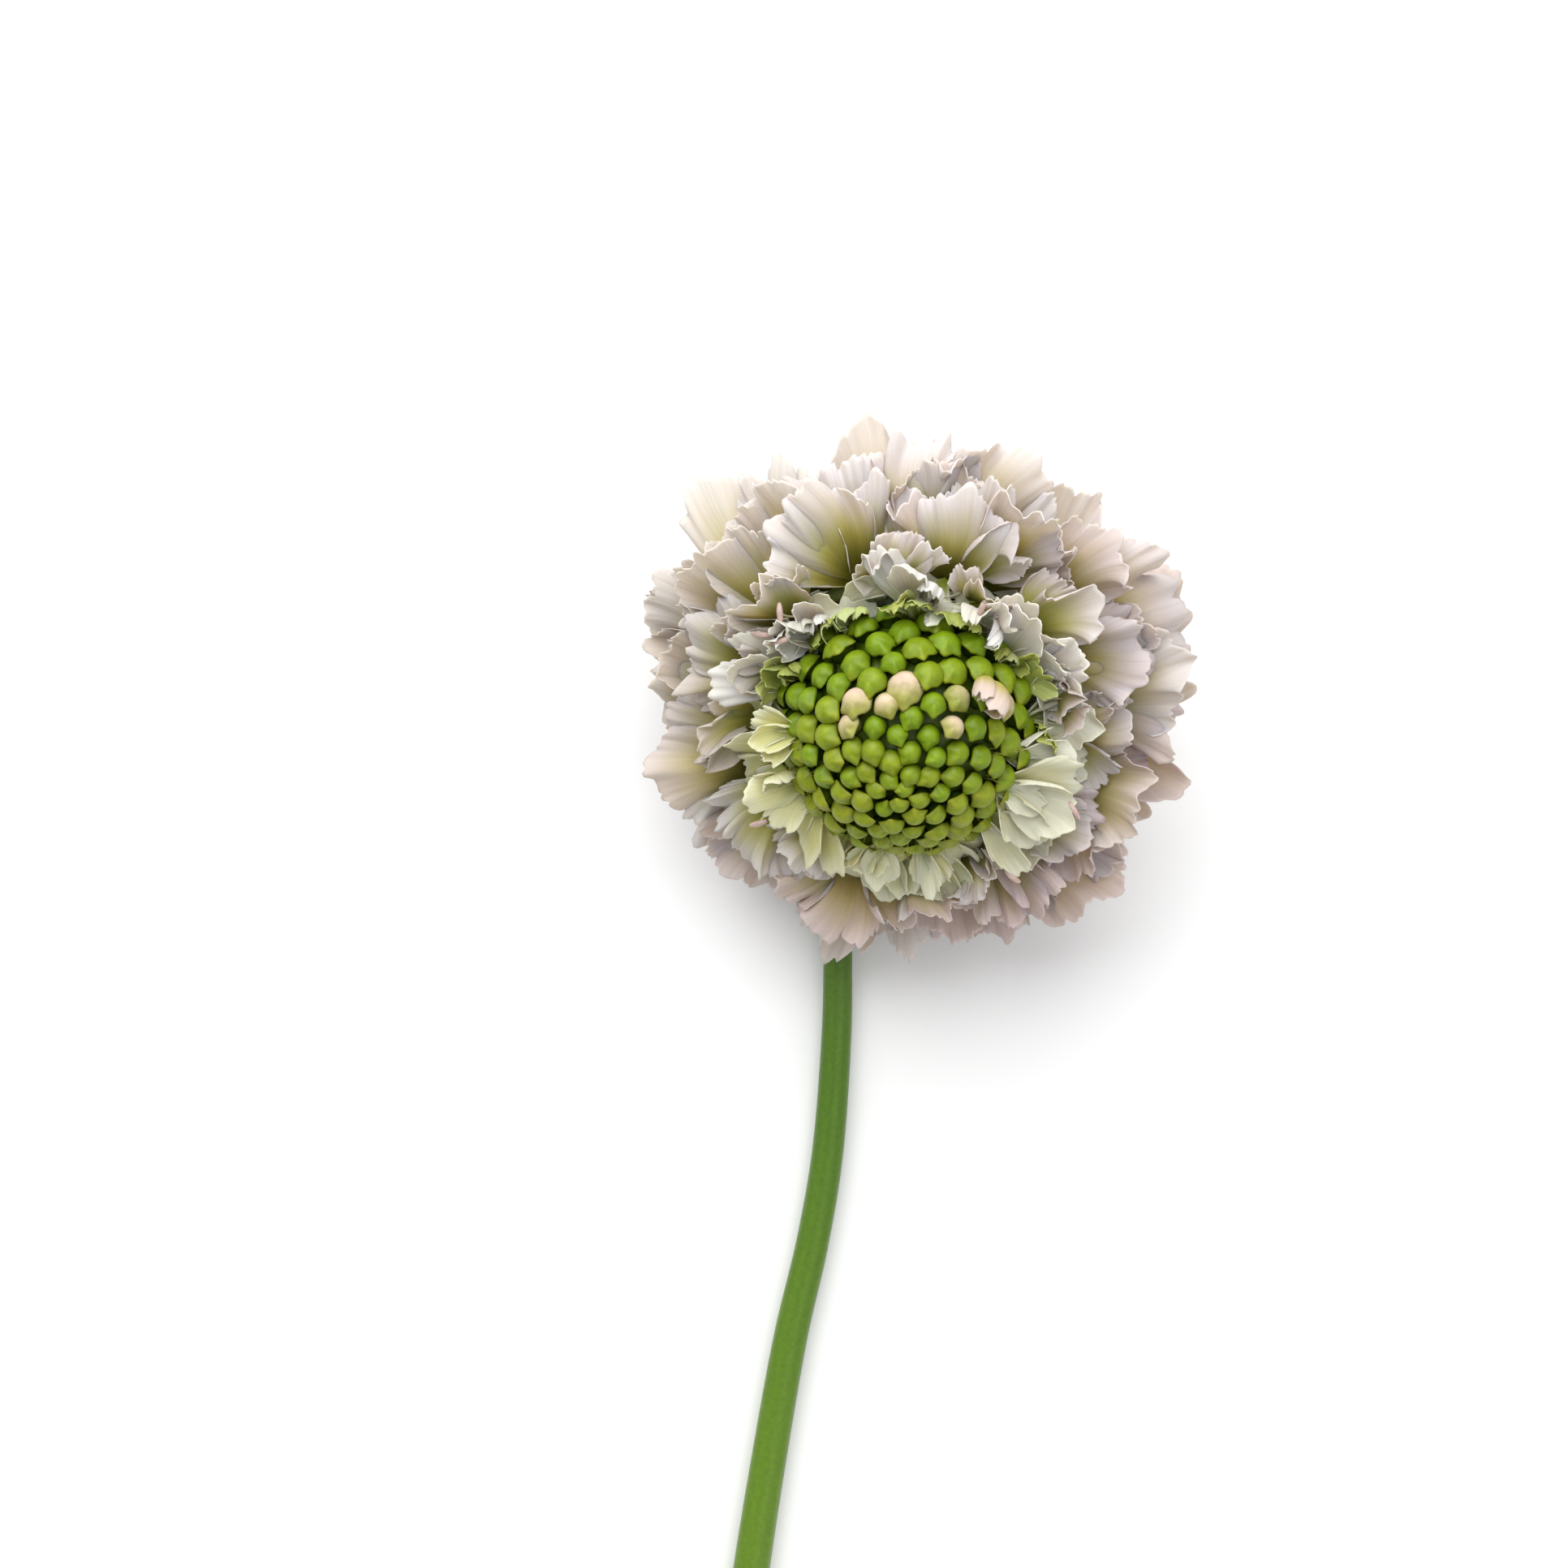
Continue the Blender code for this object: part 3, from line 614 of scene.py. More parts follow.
YOUNG_ROWS = (  # first and last turn, florets, angle from the face, length, lean, own part of the seed
    (176.0, 250.0, 5, 60.0, 9.2, 46.0, 5),
    (262.0, 290.0, 2, 68.0, 8.4, 40.0, 6),
    (302.0, 355.0, 5, 58.0, 9.6, 46.0, 7),
    (172.0, 362.0, 12, 80.0, 10.2, 34.0, 8),
)


def young_florets():
    """Small open florets round the boss's lower half, three short rows of them over a long one."""
    rows = [
        boss_florets(
            np.linspace(start, end, count),
            polar=(polar, 4.0),
            length=(length, 1.9),
            lean=(lean, 15.0),
            bend=(4.0, 48.0),
            span=(50.0, 12.0),
            seed=DETAIL_SEED + seed,
        )
        for start, end, count, polar, length, lean, seed in YOUNG_ROWS
    ]
    return {key: np.concatenate([row[key] for row in rows]) for key in rows[0]}


HALF_OPEN_BUD = 71  # buds are counted from the youngest: this one is half open already
OPENING_BUDS = (48, 53)  # these are opening
BLUSHED_BUDS = (40, 35, 58, 84, 37)  # and these are about to


def opening_floret():
    """The lobes of the bud that opens first: a cup that arches over the bud towards the youngest."""
    out, uphill, _, spacing = (column[[HALF_OPEN_BUD]] for column in bud_directions())
    length = np.array([10.2 * MM])
    foot = BOSS_CENTRE + out * (BOSS_RADIUS - 1.8 * MM) - uphill * (spacing * 0.45)[:, None]
    ahead, back = leaned(out, -uphill, np.radians([16.0]))
    return {
        "ripe": np.ones(1),
        "root": foot,
        "out": ahead,
        "side": np.cross(-back, ahead),
        "face": -back,
        "length": length,
        "bend": np.radians([122.0]),
        "half_span": np.radians([72.0]),
        "lobe_lengths": length[:, None] * np.array([[0.92, 1.0, 0.86]]),
        "lobe_pitches": np.zeros((1, 3)),
        "trough": np.array([0.55]),
        "cup": -0.15 * length,
        "wave_height": 0.05 * length,
        "waves": np.array([1.7]),
        "phase": np.array([0.6]),
    }


def small_tint(florets, sheet, chance, body, spread, edge):
    """Colour of the small lobes: green at the foot, then body or, by spread, warmer or paler than it.

    The margin is whiter by the share edge.
    """
    along, n = sheet["along"], len(florets["ripe"])
    luck = chance.uniform(-1.0, 1.0, (2, n))[:, :, None, None]
    own = mix(body, CREAM, np.clip(spread * luck[0], 0, 1))
    own = mix(own, WARM_WHITE, np.clip(-spread * luck[0], 0, 1))
    # the foot's dark olive is partly the florets' own green and partly painted shade
    foot = mix(OLIVE_AND_SHADE, LIME, 0.55 + 0.35 * luck[1])
    colour = mix(foot, own, smooth(0.10, 0.60, along))
    return mix(colour, WARM_WHITE, edge * smooth(0.70, 1.0, along))


def opening_tint(sheet):
    """Colour of an opening floret: green at the foot, cream halfway and blushed over the top."""
    along = sheet["along"]
    top = mix(BUD_BLUSH, SHELL, 0.5 * smooth(0.7, 1.0, along))
    return mix(OPENING_FOOT, mix(CREAM, top, smooth(0.45, 0.85, along)), smooth(0.10, 0.45, along))


RINGS = (  # of petals: name, share of the way in where the ring ends, rows, columns, spread of the tips' curl
    ("petals_outer", 0.27, 16, 76, 0.90),
    ("petals_middle", 0.56, 16, 72, 0.90),
    ("petals_inner", 0.80, 14, 60, 1.00),
    ("petals_small", 1.01, 12, 48, 1.20),
)


def make_petals(finish, route):
    """The open florets as four rings, then their upper lobes and the small florets on the boss.

    All draw their random numbers from one generator, in this order.
    """
    florets = open_florets()
    chance = np.random.default_rng(DETAIL_SEED)
    start = -0.01
    for name, end, rows, columns, curl in RINGS:
        chosen = (florets["ripe"] > start) & (florets["ripe"] <= end)
        ring = {key: value[chosen] for key, value in florets.items()}
        sheets = [lobe_surfaces(ring, lobe, rows, columns, chance, curl) for lobe in range(3)]
        tints = [petal_tint(ring, sheet, chance) for sheet in sheets]
        put_sheets(name, sheets, tints, finish, route, nodes=("florets",))
        start = end

    def put_small(name, small, grid, edge, tint, lobes=(0, 1, 2), clear_of=None):
        """The lobes of small florets as one piece.

        grid is rows and columns. edge is a tip's curl, the ruffles' share and the rounding. tint is the
        colour, its spread and the share of white at the margin.
        """
        sheets = [lobe_surfaces(small, lobe, *grid, chance, *edge) for lobe in lobes]
        tints = [small_tint(small, sheet, chance, *tint) for sheet in sheets]
        put_sheets(name, sheets, tints, finish, clear_of)

    warm, white = (WARM_WHITE, 0.3, 0.5), (WHITE, 0.3, 0.3)
    lime = (mix(LIME, GREEN_CREAM, 0.22), 0.25, 0.08)
    put_small("upper_lobes", upper_lobes(florets), (10, 22), (1.2, 0.8, 2.6), warm, (0, 2), route)
    put_small("rim_florets", rim_florets(), (12, 34), (1.0, 0.8, 2.6), white)
    put_small("half_open_florets", half_open_florets(), (11, 26), (0.5, 0.4, 2.4), lime)
    young = young_florets()
    towards_right = smooth(-0.6, 1.0, np.cos(young["azimuth"] - 0.2))[:, None, None]
    body = mix(GREEN_CREAM, WARM_WHITE, towards_right)
    put_small("young_florets", young, (11, 28), (0.9, 0.7, 2.4), (body, 0.5, 0.6))
    opening = opening_floret()
    sheets = [lobe_surfaces(opening, lobe, 13, 26, chance, 0.2, 0.3, 2.4) for lobe in range(3)]
    put_sheets("opening_floret", sheets, [opening_tint(sheet) for sheet in sheets], finish, None)


def put_sheets(name, sheets, tints, finish, route, nodes=()):
    """Surfaces that share a piece, with their tints, as thin blades.

    Given the stem's route they are moved clear of the boss, the floor and the stem. Small florets are given
    none, because they are rooted in the boss.
    """
    keys = ("points", "along", "uv")
    points, along, uv = (np.concatenate([sheet[key] for sheet in sheets]) for key in keys)
    if route is not None:
        points = clear_of_stem(clear_of_surface(clear_of_boss(points)), route)
    thickness = PETAL_THICK + (PETAL_THIN - PETAL_THICK) * smooth(0.1, 0.7, along)
    body, quads, rim = thin_shells(points, thickness)
    colours = np.tile(np.concatenate(tints).reshape(-1, 3), (2, 1))
    uv = np.tile(uv.reshape(-1, 2), (2, 1))
    put_piece(name, body, [quads, rim], colours, finish, nodes, len(rim), uv)


# Boss of buds


def bud_directions():
    """Each bud's direction from the boss's centre, the two across it, uphill and aside, and its spacing.

    The buds follow the golden angle round the youngest. Every bud takes the area of its own spacing.
    """
    youngest, upper = leaned(FACE, -UP, YOUNGEST_LEANS)
    buds, count, covered, polar = [], 0, 0.0, 0.0
    while polar < BUD_ANGLES[-1]:
        spacing = float(np.interp(polar, BUD_ANGLES, BUD_SPACING))
        area = sqrt(3) / 2 * spacing**2
        polar = acos(1 - (covered + area / 2) / (2 * pi * (BOSS_RADIUS - BUD_HEIGHT / 2) ** 2))
        azimuth = count * GOLDEN_ANGLE
        around = cos(azimuth) * ACROSS - sin(azimuth) * upper
        bud = sin(polar) * around + cos(polar) * youngest
        aside = np.cross(youngest, around)
        if bud @ FACE > cos(BUD_RIM):
            buds.append((bud, np.cross(bud, aside), aside, spacing))
        covered += area
        count += 1
    return tuple(np.array(column) for column in zip(*buds))


BUD_ROWS_UNDER, BUD_ROWS_OVER, BUD_SIDES = 4, 9, 34
BUD_LIME = (0.165, 0.262, 0.004)
# painted shade: the dark green that the buds' lower sides turn to, towards the boss
BUD_SHADE_GREEN = (0.030, 0.068, 0.001)
BUD_YELLOW = (0.28, 0.305, 0.014)
BUD_BLUSH = (0.68, 0.50, 0.41)
BUD_CREAM = (0.32, 0.325, 0.055)
# painted shade: the near-black green of the gaps between buds, under the hoods, and on the hidden bodies
# behind them
BUD_GAP_SHADE = (0.015, 0.035, 0.003)
OPENING_FOOT = (0.36, 0.37, 0.07)
BUD_FOOT, HOOD_EDGE, BUD_TOP = 0.18, 1.72, 2.98  # angles from an egg's lowest point


def hood_outline(turned, luck, old):
    """How far a hood's edge stands out at each angle from its beak.

    It is the sum of the beak, a corner on each side, and rags, which only old buds have.
    """

    def peak(place, width):
        away = np.abs(np.arctan2(np.sin(turned - place), np.cos(turned - place)))
        return np.exp(-((away / width) ** 1.25))

    beak = (0.58 + 0.16 * luck[5]) * peak(0.0, 0.42)
    corners = (0.22 + 0.16 * luck[8]) * peak(1.15 + 0.15 * luck[3], 0.34)
    corners += (0.22 + 0.16 * luck[9]) * peak(-1.15 + 0.15 * luck[1], 0.34)
    rags = old * 0.10 * np.cos(7 * turned + 3 * luck[3]) * (0.5 + 0.5 * np.cos(turned))
    return beak + corners + rags


def make_buds(finish):
    """Closed buds as eggs that stand out of the boss, each under the hood of its outer lobe.

    An egg's half-width goes as a power of the sine of the angle from its lowest point. The hood covers the
    upper egg. Seen from above it is a shield, round on the side away from the youngest bud and drawn out to a
    beak and two corners on the near side, where it overhangs. Its edge is a step, highest at the beak and
    gone at the back. A keel runs from its top to the beak, and a seam down the body under it. The opening
    buds are larger.
    """
    out, uphill, aside, spacing = bud_directions()
    chance = np.random.default_rng(DETAIL_SEED + 1)
    n = len(spacing)
    luck = chance.uniform(-1.0, 1.0, (12, n, 1, 1))
    number = np.arange(n)
    opening = np.isin(number, OPENING_BUDS)[:, None, None]
    tilted, uphill = leaned(out, uphill, 0.16 * luck[6, :, 0, 0])
    tilted, aside = leaned(tilted, aside, 0.12 * luck[7, :, 0, 0])
    around = (np.arange(BUD_SIDES) * 2 * pi / BUD_SIDES)[None, None, :]
    turned = around - 0.45 * luck[4]
    from_point = np.abs(np.arctan2(np.sin(turned), np.cos(turned)))
    towards = 0.5 + 0.5 * np.cos(turned)
    old = np.maximum(smooth(0.25, 0.95, out @ UP)[:, None, None], opening)
    outline = hood_outline(turned, luck, old)
    edge = HOOD_EDGE + 0.16 * luck[2] + 0.50 * np.cos(turned) - 0.22 * outline
    under = BUD_FOOT + (edge - BUD_FOOT) * np.linspace(0.0, 1.0, BUD_ROWS_UNDER)[None, :, None]
    over = edge + (BUD_TOP - edge) * (np.linspace(0.0, 1.0, BUD_ROWS_OVER) ** 0.9)[None, :, None]
    rising = np.concatenate([under, over], axis=1)
    rows = BUD_ROWS_UNDER + BUD_ROWS_OVER
    is_hood = (np.arange(rows) >= BUD_ROWS_UNDER)[None, :, None]
    below_tip = np.clip((pi - rising) / (pi - edge), 0.0, 1.0) * is_hood
    keel = np.exp(-((from_point / 0.26) ** 2)) - 0.55 * np.exp(-(((from_point - 0.72) / 0.34) ** 2))
    keel = keel * smooth(0.0, 0.7, below_tip)
    seam = np.exp(-((from_point / 0.22) ** 2)) * smooth(0.6, 1.2, rising) * (1 - is_hood)
    hooded = 1 + 0.03 + (0.03 + 0.08 * old) * towards + outline * below_tip**1.8
    tucked = 1 - (0.20 + 0.05 * luck[10]) * towards * smooth(0.6, 1.7, rising) - 0.10 * seam
    half_width = spacing[:, None, None] * (0.435 + 0.045 * luck[0]) * (1 + 0.17 * opening)
    half_height = 1.95 * MM * (spacing / spacing.mean())[:, None, None] ** 0.7
    width = half_width * np.sin(rising) ** 0.80 * np.where(is_hood, hooded, tucked)
    high = half_height * (-np.cos(rising) + 0.11 * keel + 0.14 * opening * is_hood)
    upper = (1 - np.cos(rising)) / 2
    lean = 0.12 * spacing[:, None, None] * upper**2
    middle = BOSS_CENTRE + out * (BOSS_RADIUS - half_height[:, 0] + 0.35 * MM * luck[11, :, 0])
    x = width * np.cos(around) + lean
    y = width * np.sin(around)
    walls = (
        middle[:, None, None]
        + x[..., None] * uphill[:, None, None]
        + y[..., None] * aside[:, None, None]
        + high[..., None] * tilted[:, None, None]
    )
    foot = middle - tilted * half_height[:, 0]
    tip = middle + tilted * half_height[:, 0] * (1.0 + 0.14 * opening[:, 0]) + uphill * lean[:, -1, :1]
    points = np.concatenate([foot[:, None], walls.reshape(n, -1, 3), tip[:, None]], axis=1)
    per = points.shape[1]
    index = np.arange(n)[:, None] * per
    ring = index[..., None] + 1 + np.arange(per - 2).reshape(1, rows, BUD_SIDES)
    step = ring[:, BUD_ROWS_UNDER - 1 : BUD_ROWS_UNDER + 1]
    parts = (ring[:, :BUD_ROWS_UNDER], ring[:, BUD_ROWS_UNDER:], step)
    quads = [grid_faces(part, wrap=True)[:, ::-1] for part in parts]
    low, top = ring[:, 0], ring[:, -1]
    fans = ((index, np.roll(low, -1, axis=1), low), (index + per - 1, top, np.roll(top, -1, axis=1)))
    fans = [np.stack(np.broadcast_arrays(*fan), axis=-1).reshape(-1, 3) for fan in fans]

    def by_point(value, first, last):
        flat = (value * np.ones((n, rows, BUD_SIDES))).reshape(n, -1)
        return np.concatenate([np.full((n, 1), first), flat, np.full((n, 1), last)], axis=1)

    share, on_hood = by_point(upper, 0.0, 1.0), by_point(is_hood, 0.0, 1.0)
    front = by_point(np.cos(turned) * np.sin(rising), 0.0, 0.0)
    ridge, rim = by_point(keel, 0.0, 0.0), by_point(below_tip**6, 0.0, 0.0)
    yellow = 0.32 + 0.35 * luck[0, :, :, 0] - 0.40 * (out @ UP)[:, None] + 0.25 * ridge + 0.45 * rim
    # painted light and shade: each bud goes from this lit colour at its top to dark green towards its foot
    lit = mix(BUD_LIME, BUD_YELLOW, np.clip(yellow, 0, 1))
    colour = mix(BUD_SHADE_GREEN, lit, smooth(0.36, 0.98, share + 0.12 * rim))
    blush = np.isin(number, BLUSHED_BUDS)[:, None] * (0.55 + 0.3 * luck[1, :, :, 0]) + opening[:, 0]
    colour = mix(colour, BUD_CREAM, np.clip(1.6 * blush, 0, 1) * smooth(0.25, 0.60, share))
    pink = smooth(-0.1, 1.1, 0.45 - 0.75 * front + 0.4 * rim) * smooth(0.45, 0.90, share)
    colour = mix(colour, BUD_BLUSH, np.clip(1.2 * blush, 0, 1) * pink)
    # painted shade: the body under each hood is darkened, and every bud darkens to the gap colour at its foot
    colour = mix(BUD_GAP_SHADE, colour, (0.55 + 0.45 * on_hood) * smooth(0.12, 0.50, share))
    put_piece("buds", points, [*fans, *quads], colour, finish, ("bud_boss",), len(quads[-1]))


BRISTLES = 320
BRISTLE_FOOT, BRISTLE_TIP = (0.10, 0.13, 0.012), (0.36, 0.33, 0.07)
STAMEN_TURNS = np.radians((133.0, 139.0, 146.0, 61.0, 214.0, 311.0, 338.0))
FILAMENT, ANTHER = (0.62, 0.58, 0.36), (0.54, 0.39, 0.35)


def thin_threads(start, end, sag, radius, sides):
    """Round threads from start to end as tubes: a straight run plus sag times the sine of the way along.

    radius is thread, ring. Returns the points and the faces.
    """
    share = np.linspace(0.0, 1.0, radius.shape[1])[None, :, None]
    line = start[:, None] + (end - start)[:, None] * share + sag[:, None] * np.sin(pi * share)
    forward = unit(np.gradient(line, axis=1))
    aside = unit(np.cross(forward, np.array((0.31, 0.72, 0.62))))
    other = np.cross(forward, aside)
    turn = (np.arange(sides) * 2 * pi / sides)[None, None, :, None]
    across = np.cos(turn) * aside[:, :, None] + np.sin(turn) * other[:, :, None]
    points = line[:, :, None] + radius[..., None, None] * across
    return points.reshape(-1, 3), closed_tubes((*radius.shape, sides))


def make_threads(finish):
    """The bristles that stand between the lower buds, and stamens with pale anthers among the petals."""
    chance = np.random.default_rng(DETAIL_SEED + 12)
    turns = np.radians(chance.uniform(172.0, 368.0, BRISTLES))
    polar = np.radians(chance.uniform(44.0, 86.0, BRISTLES))
    out, around = leaned(np.broadcast_to(FACE, (BRISTLES, 3)), outward(turns), polar)
    wander = chance.uniform(-1.0, 1.0, (BRISTLES, 3))
    start = BOSS_CENTRE + (BOSS_RADIUS - 2.6 * MM) * out
    end = BOSS_CENTRE + (BOSS_RADIUS + 0.1 * MM) * out + 0.9 * MM * wander + 0.5 * MM * around
    radius = np.broadcast_to(np.array((0.075, 0.070, 0.050, 0.015)) * MM, (BRISTLES, 4))
    points, faces = thin_threads(start, end, 0.15 * MM * wander[:, ::-1], radius, 4)
    tone = mix(BRISTLE_FOOT, BRISTLE_TIP, np.repeat(np.tile((0.2, 0.6, 1.0, 1.0), BRISTLES), 4))
    put_piece("bristles", points, faces, tone, finish)

    n = len(STAMEN_TURNS)
    luck = chance.uniform(-1.0, 1.0, (6, n))
    height = (13.0 + 2.0 * luck[0]) * MM
    top = height + (6.5 + 1.5 * luck[3]) * MM
    start = bloom_point(np.full(n, 19.0 * MM), STAMEN_TURNS, height)
    end = bloom_point((22.5 + 2.0 * luck[1]) * MM, STAMEN_TURNS + 0.06 * luck[2], top)
    sag = outward(STAMEN_TURNS + pi / 2) * (0.9 * MM * luck[4])[:, None]
    thread, faces = thin_threads(start, end, sag, np.full((n, 9), 0.14 * MM), 8)
    half = 1.3 * MM * unit(outward(STAMEN_TURNS + 1.2 * luck[5]) + 0.5 * luck[0][:, None] * FACE)
    arch = 0.25 * MM * np.broadcast_to(FACE, (n, 3))
    swell = np.broadcast_to(np.sin(pi * np.linspace(0.06, 0.94, 9)) ** 0.45 * 0.42 * MM, (n, 9))
    anther, anther_faces = thin_threads(end - half, end + half, arch, swell, 12)
    points = np.concatenate([thread, anther])
    faces += [part + len(thread) for part in anther_faces]
    tone = np.where(np.arange(len(points))[:, None] < len(thread), FILAMENT, ANTHER)
    put_piece("stamens", points, faces, tone, finish)


# Profiles to turn round the bloom's axis: radius and height in mm
TURNED_SIDES = 64
DOME = [(15.0 * cos(a), 13.8 + 15.0 * sin(a)) for a in np.radians((15, 30, 45, 60, 75, 88))]
RECEPTACLE = [(4.9, -0.5), (8.0, 1.8), (12.4, 5.0), (14.6, 9.0), (15.0, 13.8), *DOME]
RIM_OUTSIDE = [(7.2, -0.5), (12.6, 0.4), (16.8, 3.7), (19.2, 7.6), (19.5, 10.2), (18.9, 11.6)]
RIM_INSIDE = [(18.1, 11.6), (17.6, 10.6), (16.4, 8.6), (12.8, 4.4), (8.4, 1.4), (7.0, -0.3)]


def turned_surface(profile, sides, ripple=0.0):
    """Points of a profile of radius and height turned round the bloom's axis, with seven waves of ripple."""
    radius, height = np.array(profile).T * MM
    turn = np.arange(sides) * 2 * pi / sides
    radius = radius[:, None] * (1 + ripple * np.sin(7 * turn))
    return bloom_point(radius, *np.broadcast_arrays(turn, height[:, None]))


def make_hidden_bodies(petal_finish, bud_finish):
    """The receptacle's round top behind the buds, and the hollow rim that the florets stand on."""
    points = turned_surface(RECEPTACLE, TURNED_SIDES)
    faces = [part[:, ::-1] for part in closed_tubes((1, *points.shape[:2]))]
    # painted shade: the receptacle is a dark green, as it lies in shade behind the buds
    put_piece("receptacle", points, faces, mix(BUD_GAP_SHADE, BUD_LIME, 0.30), bud_finish)
    points = turned_surface(RIM_OUTSIDE + RIM_INSIDE, TURNED_SIDES)
    index = np.arange(points[..., 0].size).reshape(points.shape[:2])
    faces = [grid_faces(np.concatenate([index, index[:1]]), wrap=True)]
    # painted shade: the floret rim is a dark olive green, standing for the shade between the boss and the
    # petals
    colour, uv = mix(BUD_GAP_SHADE, OLIVE_AND_SHADE, 0.25), np.zeros((index.size, 2))
    put_piece("floret_rim", points, faces, colour, petal_finish, uv=uv)


# Stem and bracts

STEM_TOP = -2.95 * MM
STEM_TOP_RADIUS = 2.9 * MM
NECK = ((0.95, 2.9, 9.6, 2.05), (0.6, 1.2, 4.6, 1.95), (-1.9, -4.4, 2.05, 1.93))
ALONG_SURFACE = (
    (-6.8, -14.5, 1.92),
    (-9.7, -25.0, 1.94),
    (-10.3, -35.5, 1.99),
    (-10.5, -47.0, 2.08),
    (-11.8, -64.6, 2.20),
    (-13.9, -77.0, 2.28),
    (-16.8, -89.4, 2.36),
    (-19.8, -106.0, 2.45),
    (-22.4, -122.3, 2.54),
    (-27.0, -155.0, 2.62),
    (-30.0, -190.0, 2.66),
    (-31.5, -225.0, 2.70),
)
STEM_RINGS, STEM_SIDES = 260, 64
NECK_RINGS, NECK_RUN = 0.45, 0.17  # the neck's share of the rings, and of the stem's length
CUT_END = ((0.93, 0.0), (0.72, 0.05), (0.40, 0.25), (0.08, 0.45))  # share of the radius, and depth in mm
CUT_FACE = (0.45, 0.52, 0.22)
STEM_PALE = (0.105, 0.185, 0.024)
STEM_GREEN = (0.060, 0.145, 0.005)
STEM_YELLOW = (0.155, 0.265, 0.018)


def stem_route(count):
    """count points and radii down a centripetal curve through the stem's knots, and their way along it.

    The points lie closer together in the neck.
    """
    knots = [[*(BLOOM_BASE + STEM_TOP * FACE), STEM_TOP_RADIUS]]
    knots.append([*(BLOOM_BASE + (STEM_TOP - 2.4 * MM) * FACE), 2.25 * MM])
    for x, y, z, radius in (*NECK, *((x, y, radius, radius) for x, y, radius in ALONG_SURFACE)):
        knots.append([BLOOM_BASE[0] + x * MM, BLOOM_BASE[1] + y * MM, FLOOR + z * MM, radius * MM])
    knots = np.array(knots)
    ends = np.vstack([2 * knots[0] - knots[1], knots, 2 * knots[-1] - knots[-2]])
    fine = []
    for p0, p1, p2, p3 in zip(ends, ends[1:], ends[2:], ends[3:]):
        gaps = [np.linalg.norm((b - a)[:3]) ** 0.5 for a, b in ((p0, p1), (p1, p2), (p2, p3))]
        first = (p1 - p0) / gaps[0] - (p2 - p0) / (gaps[0] + gaps[1]) + (p2 - p1) / gaps[1]
        last = (p2 - p1) / gaps[1] - (p3 - p1) / (gaps[1] + gaps[2]) + (p3 - p2) / gaps[2]
        first, last = first * gaps[1], last * gaps[1]
        t = np.linspace(0.0, 1.0, 24, endpoint=False)[:, None]
        fine.append(
            (2 * t**3 - 3 * t**2 + 1) * p1
            + (t**3 - 2 * t**2 + t) * first
            + (3 * t**2 - 2 * t**3) * p2
            + (t**3 - t**2) * last
        )
    fine = np.vstack([*fine, knots[-1:]])
    run = np.concatenate([[0.0], np.cumsum(np.linalg.norm(np.diff(fine[:, :3], axis=0), axis=1))])
    shares = np.linspace(0.0, 1.0, count)
    stops = run[-1] * np.interp(shares, (0.0, NECK_RINGS, 1.0), (0.0, NECK_RUN, 1.0))
    route = np.stack([np.interp(stops, run, fine[:, k]) for k in range(4)], axis=1)
    route[:, 2] = np.maximum(route[:, 2], FLOOR + route[:, 3])
    return route, stops


def make_stem(finish):
    """A round stalk carried along the route, with faint ribs and a cut end that is slightly hollow."""
    route, run = stem_route(STEM_RINGS)
    forward = unit(np.gradient(route[:, :3], axis=0))
    sideways = np.zeros_like(forward)
    sideways[0] = unit(np.cross(forward[0], (0.0, 0.0, 1.0)))
    for k in range(1, len(route)):
        carried = sideways[k - 1] - forward[k] * (sideways[k - 1] @ forward[k])
        sideways[k] = carried / np.linalg.norm(carried)
    other = np.cross(forward, sideways)
    turn = np.arange(STEM_SIDES) * 2 * pi / STEM_SIDES
    ribs = 0.010 * np.cos(9 * turn)[None] + 0.006 * np.cos(5 * turn[None] + 40 * run[:, None])
    radius = route[:, 3, None] * (0.988 + ribs)
    walls = route[:, None, :3] + radius[..., None] * (
        np.cos(turn)[None, :, None] * sideways[:, None] + np.sin(turn)[None, :, None] * other[:, None]
    )
    heart = route[-1, :3]
    rings = [heart + (walls[-1:] - heart) * scale - forward[-1] * depth * MM for scale, depth in CUT_END]
    points = np.concatenate([walls, *rings])
    down = np.concatenate([run, np.full(len(rings), run[-1])])[:, None]
    colour = mix(STEM_PALE, STEM_GREEN, smooth(20 * MM, 75 * MM, down))
    colour = mix(colour, STEM_YELLOW, 0.55 * smooth(60 * MM, 150 * MM, down))
    colour = mix(colour, STEM_YELLOW, 0.18 * (0.5 + 0.5 * np.sin(9 * turn + 1.2)))
    colour = mix(CUT_FACE, colour, (np.arange(len(points)) < len(route))[:, None])
    put_piece("stem_skin", points, closed_tubes((1, *points.shape[:2])), colour, finish, ("stem",))


BRACTS = 11
BRACT_LENGTH = 15.0 * MM
BRACT_HALF_WIDTH = 1.7 * MM
BRACT_FALL = radians(-17.0)
BRACT_THICKNESS = 0.45 * MM
BRACT_GREEN, BRACT_RIB, BRACT_TIP = (0.10, 0.19, 0.035), (0.22, 0.33, 0.10), (0.30, 0.22, 0.12)
DISC_SIDES = 48
DISC = [(0.6, -0.9), (6.1, -0.9), (6.55, -1.25), (6.4, -1.75), (4.9, -2.2), (3.1, -2.58), (0.6, -2.58)]
DISC_GREEN = (0.166, 0.280, 0.067)


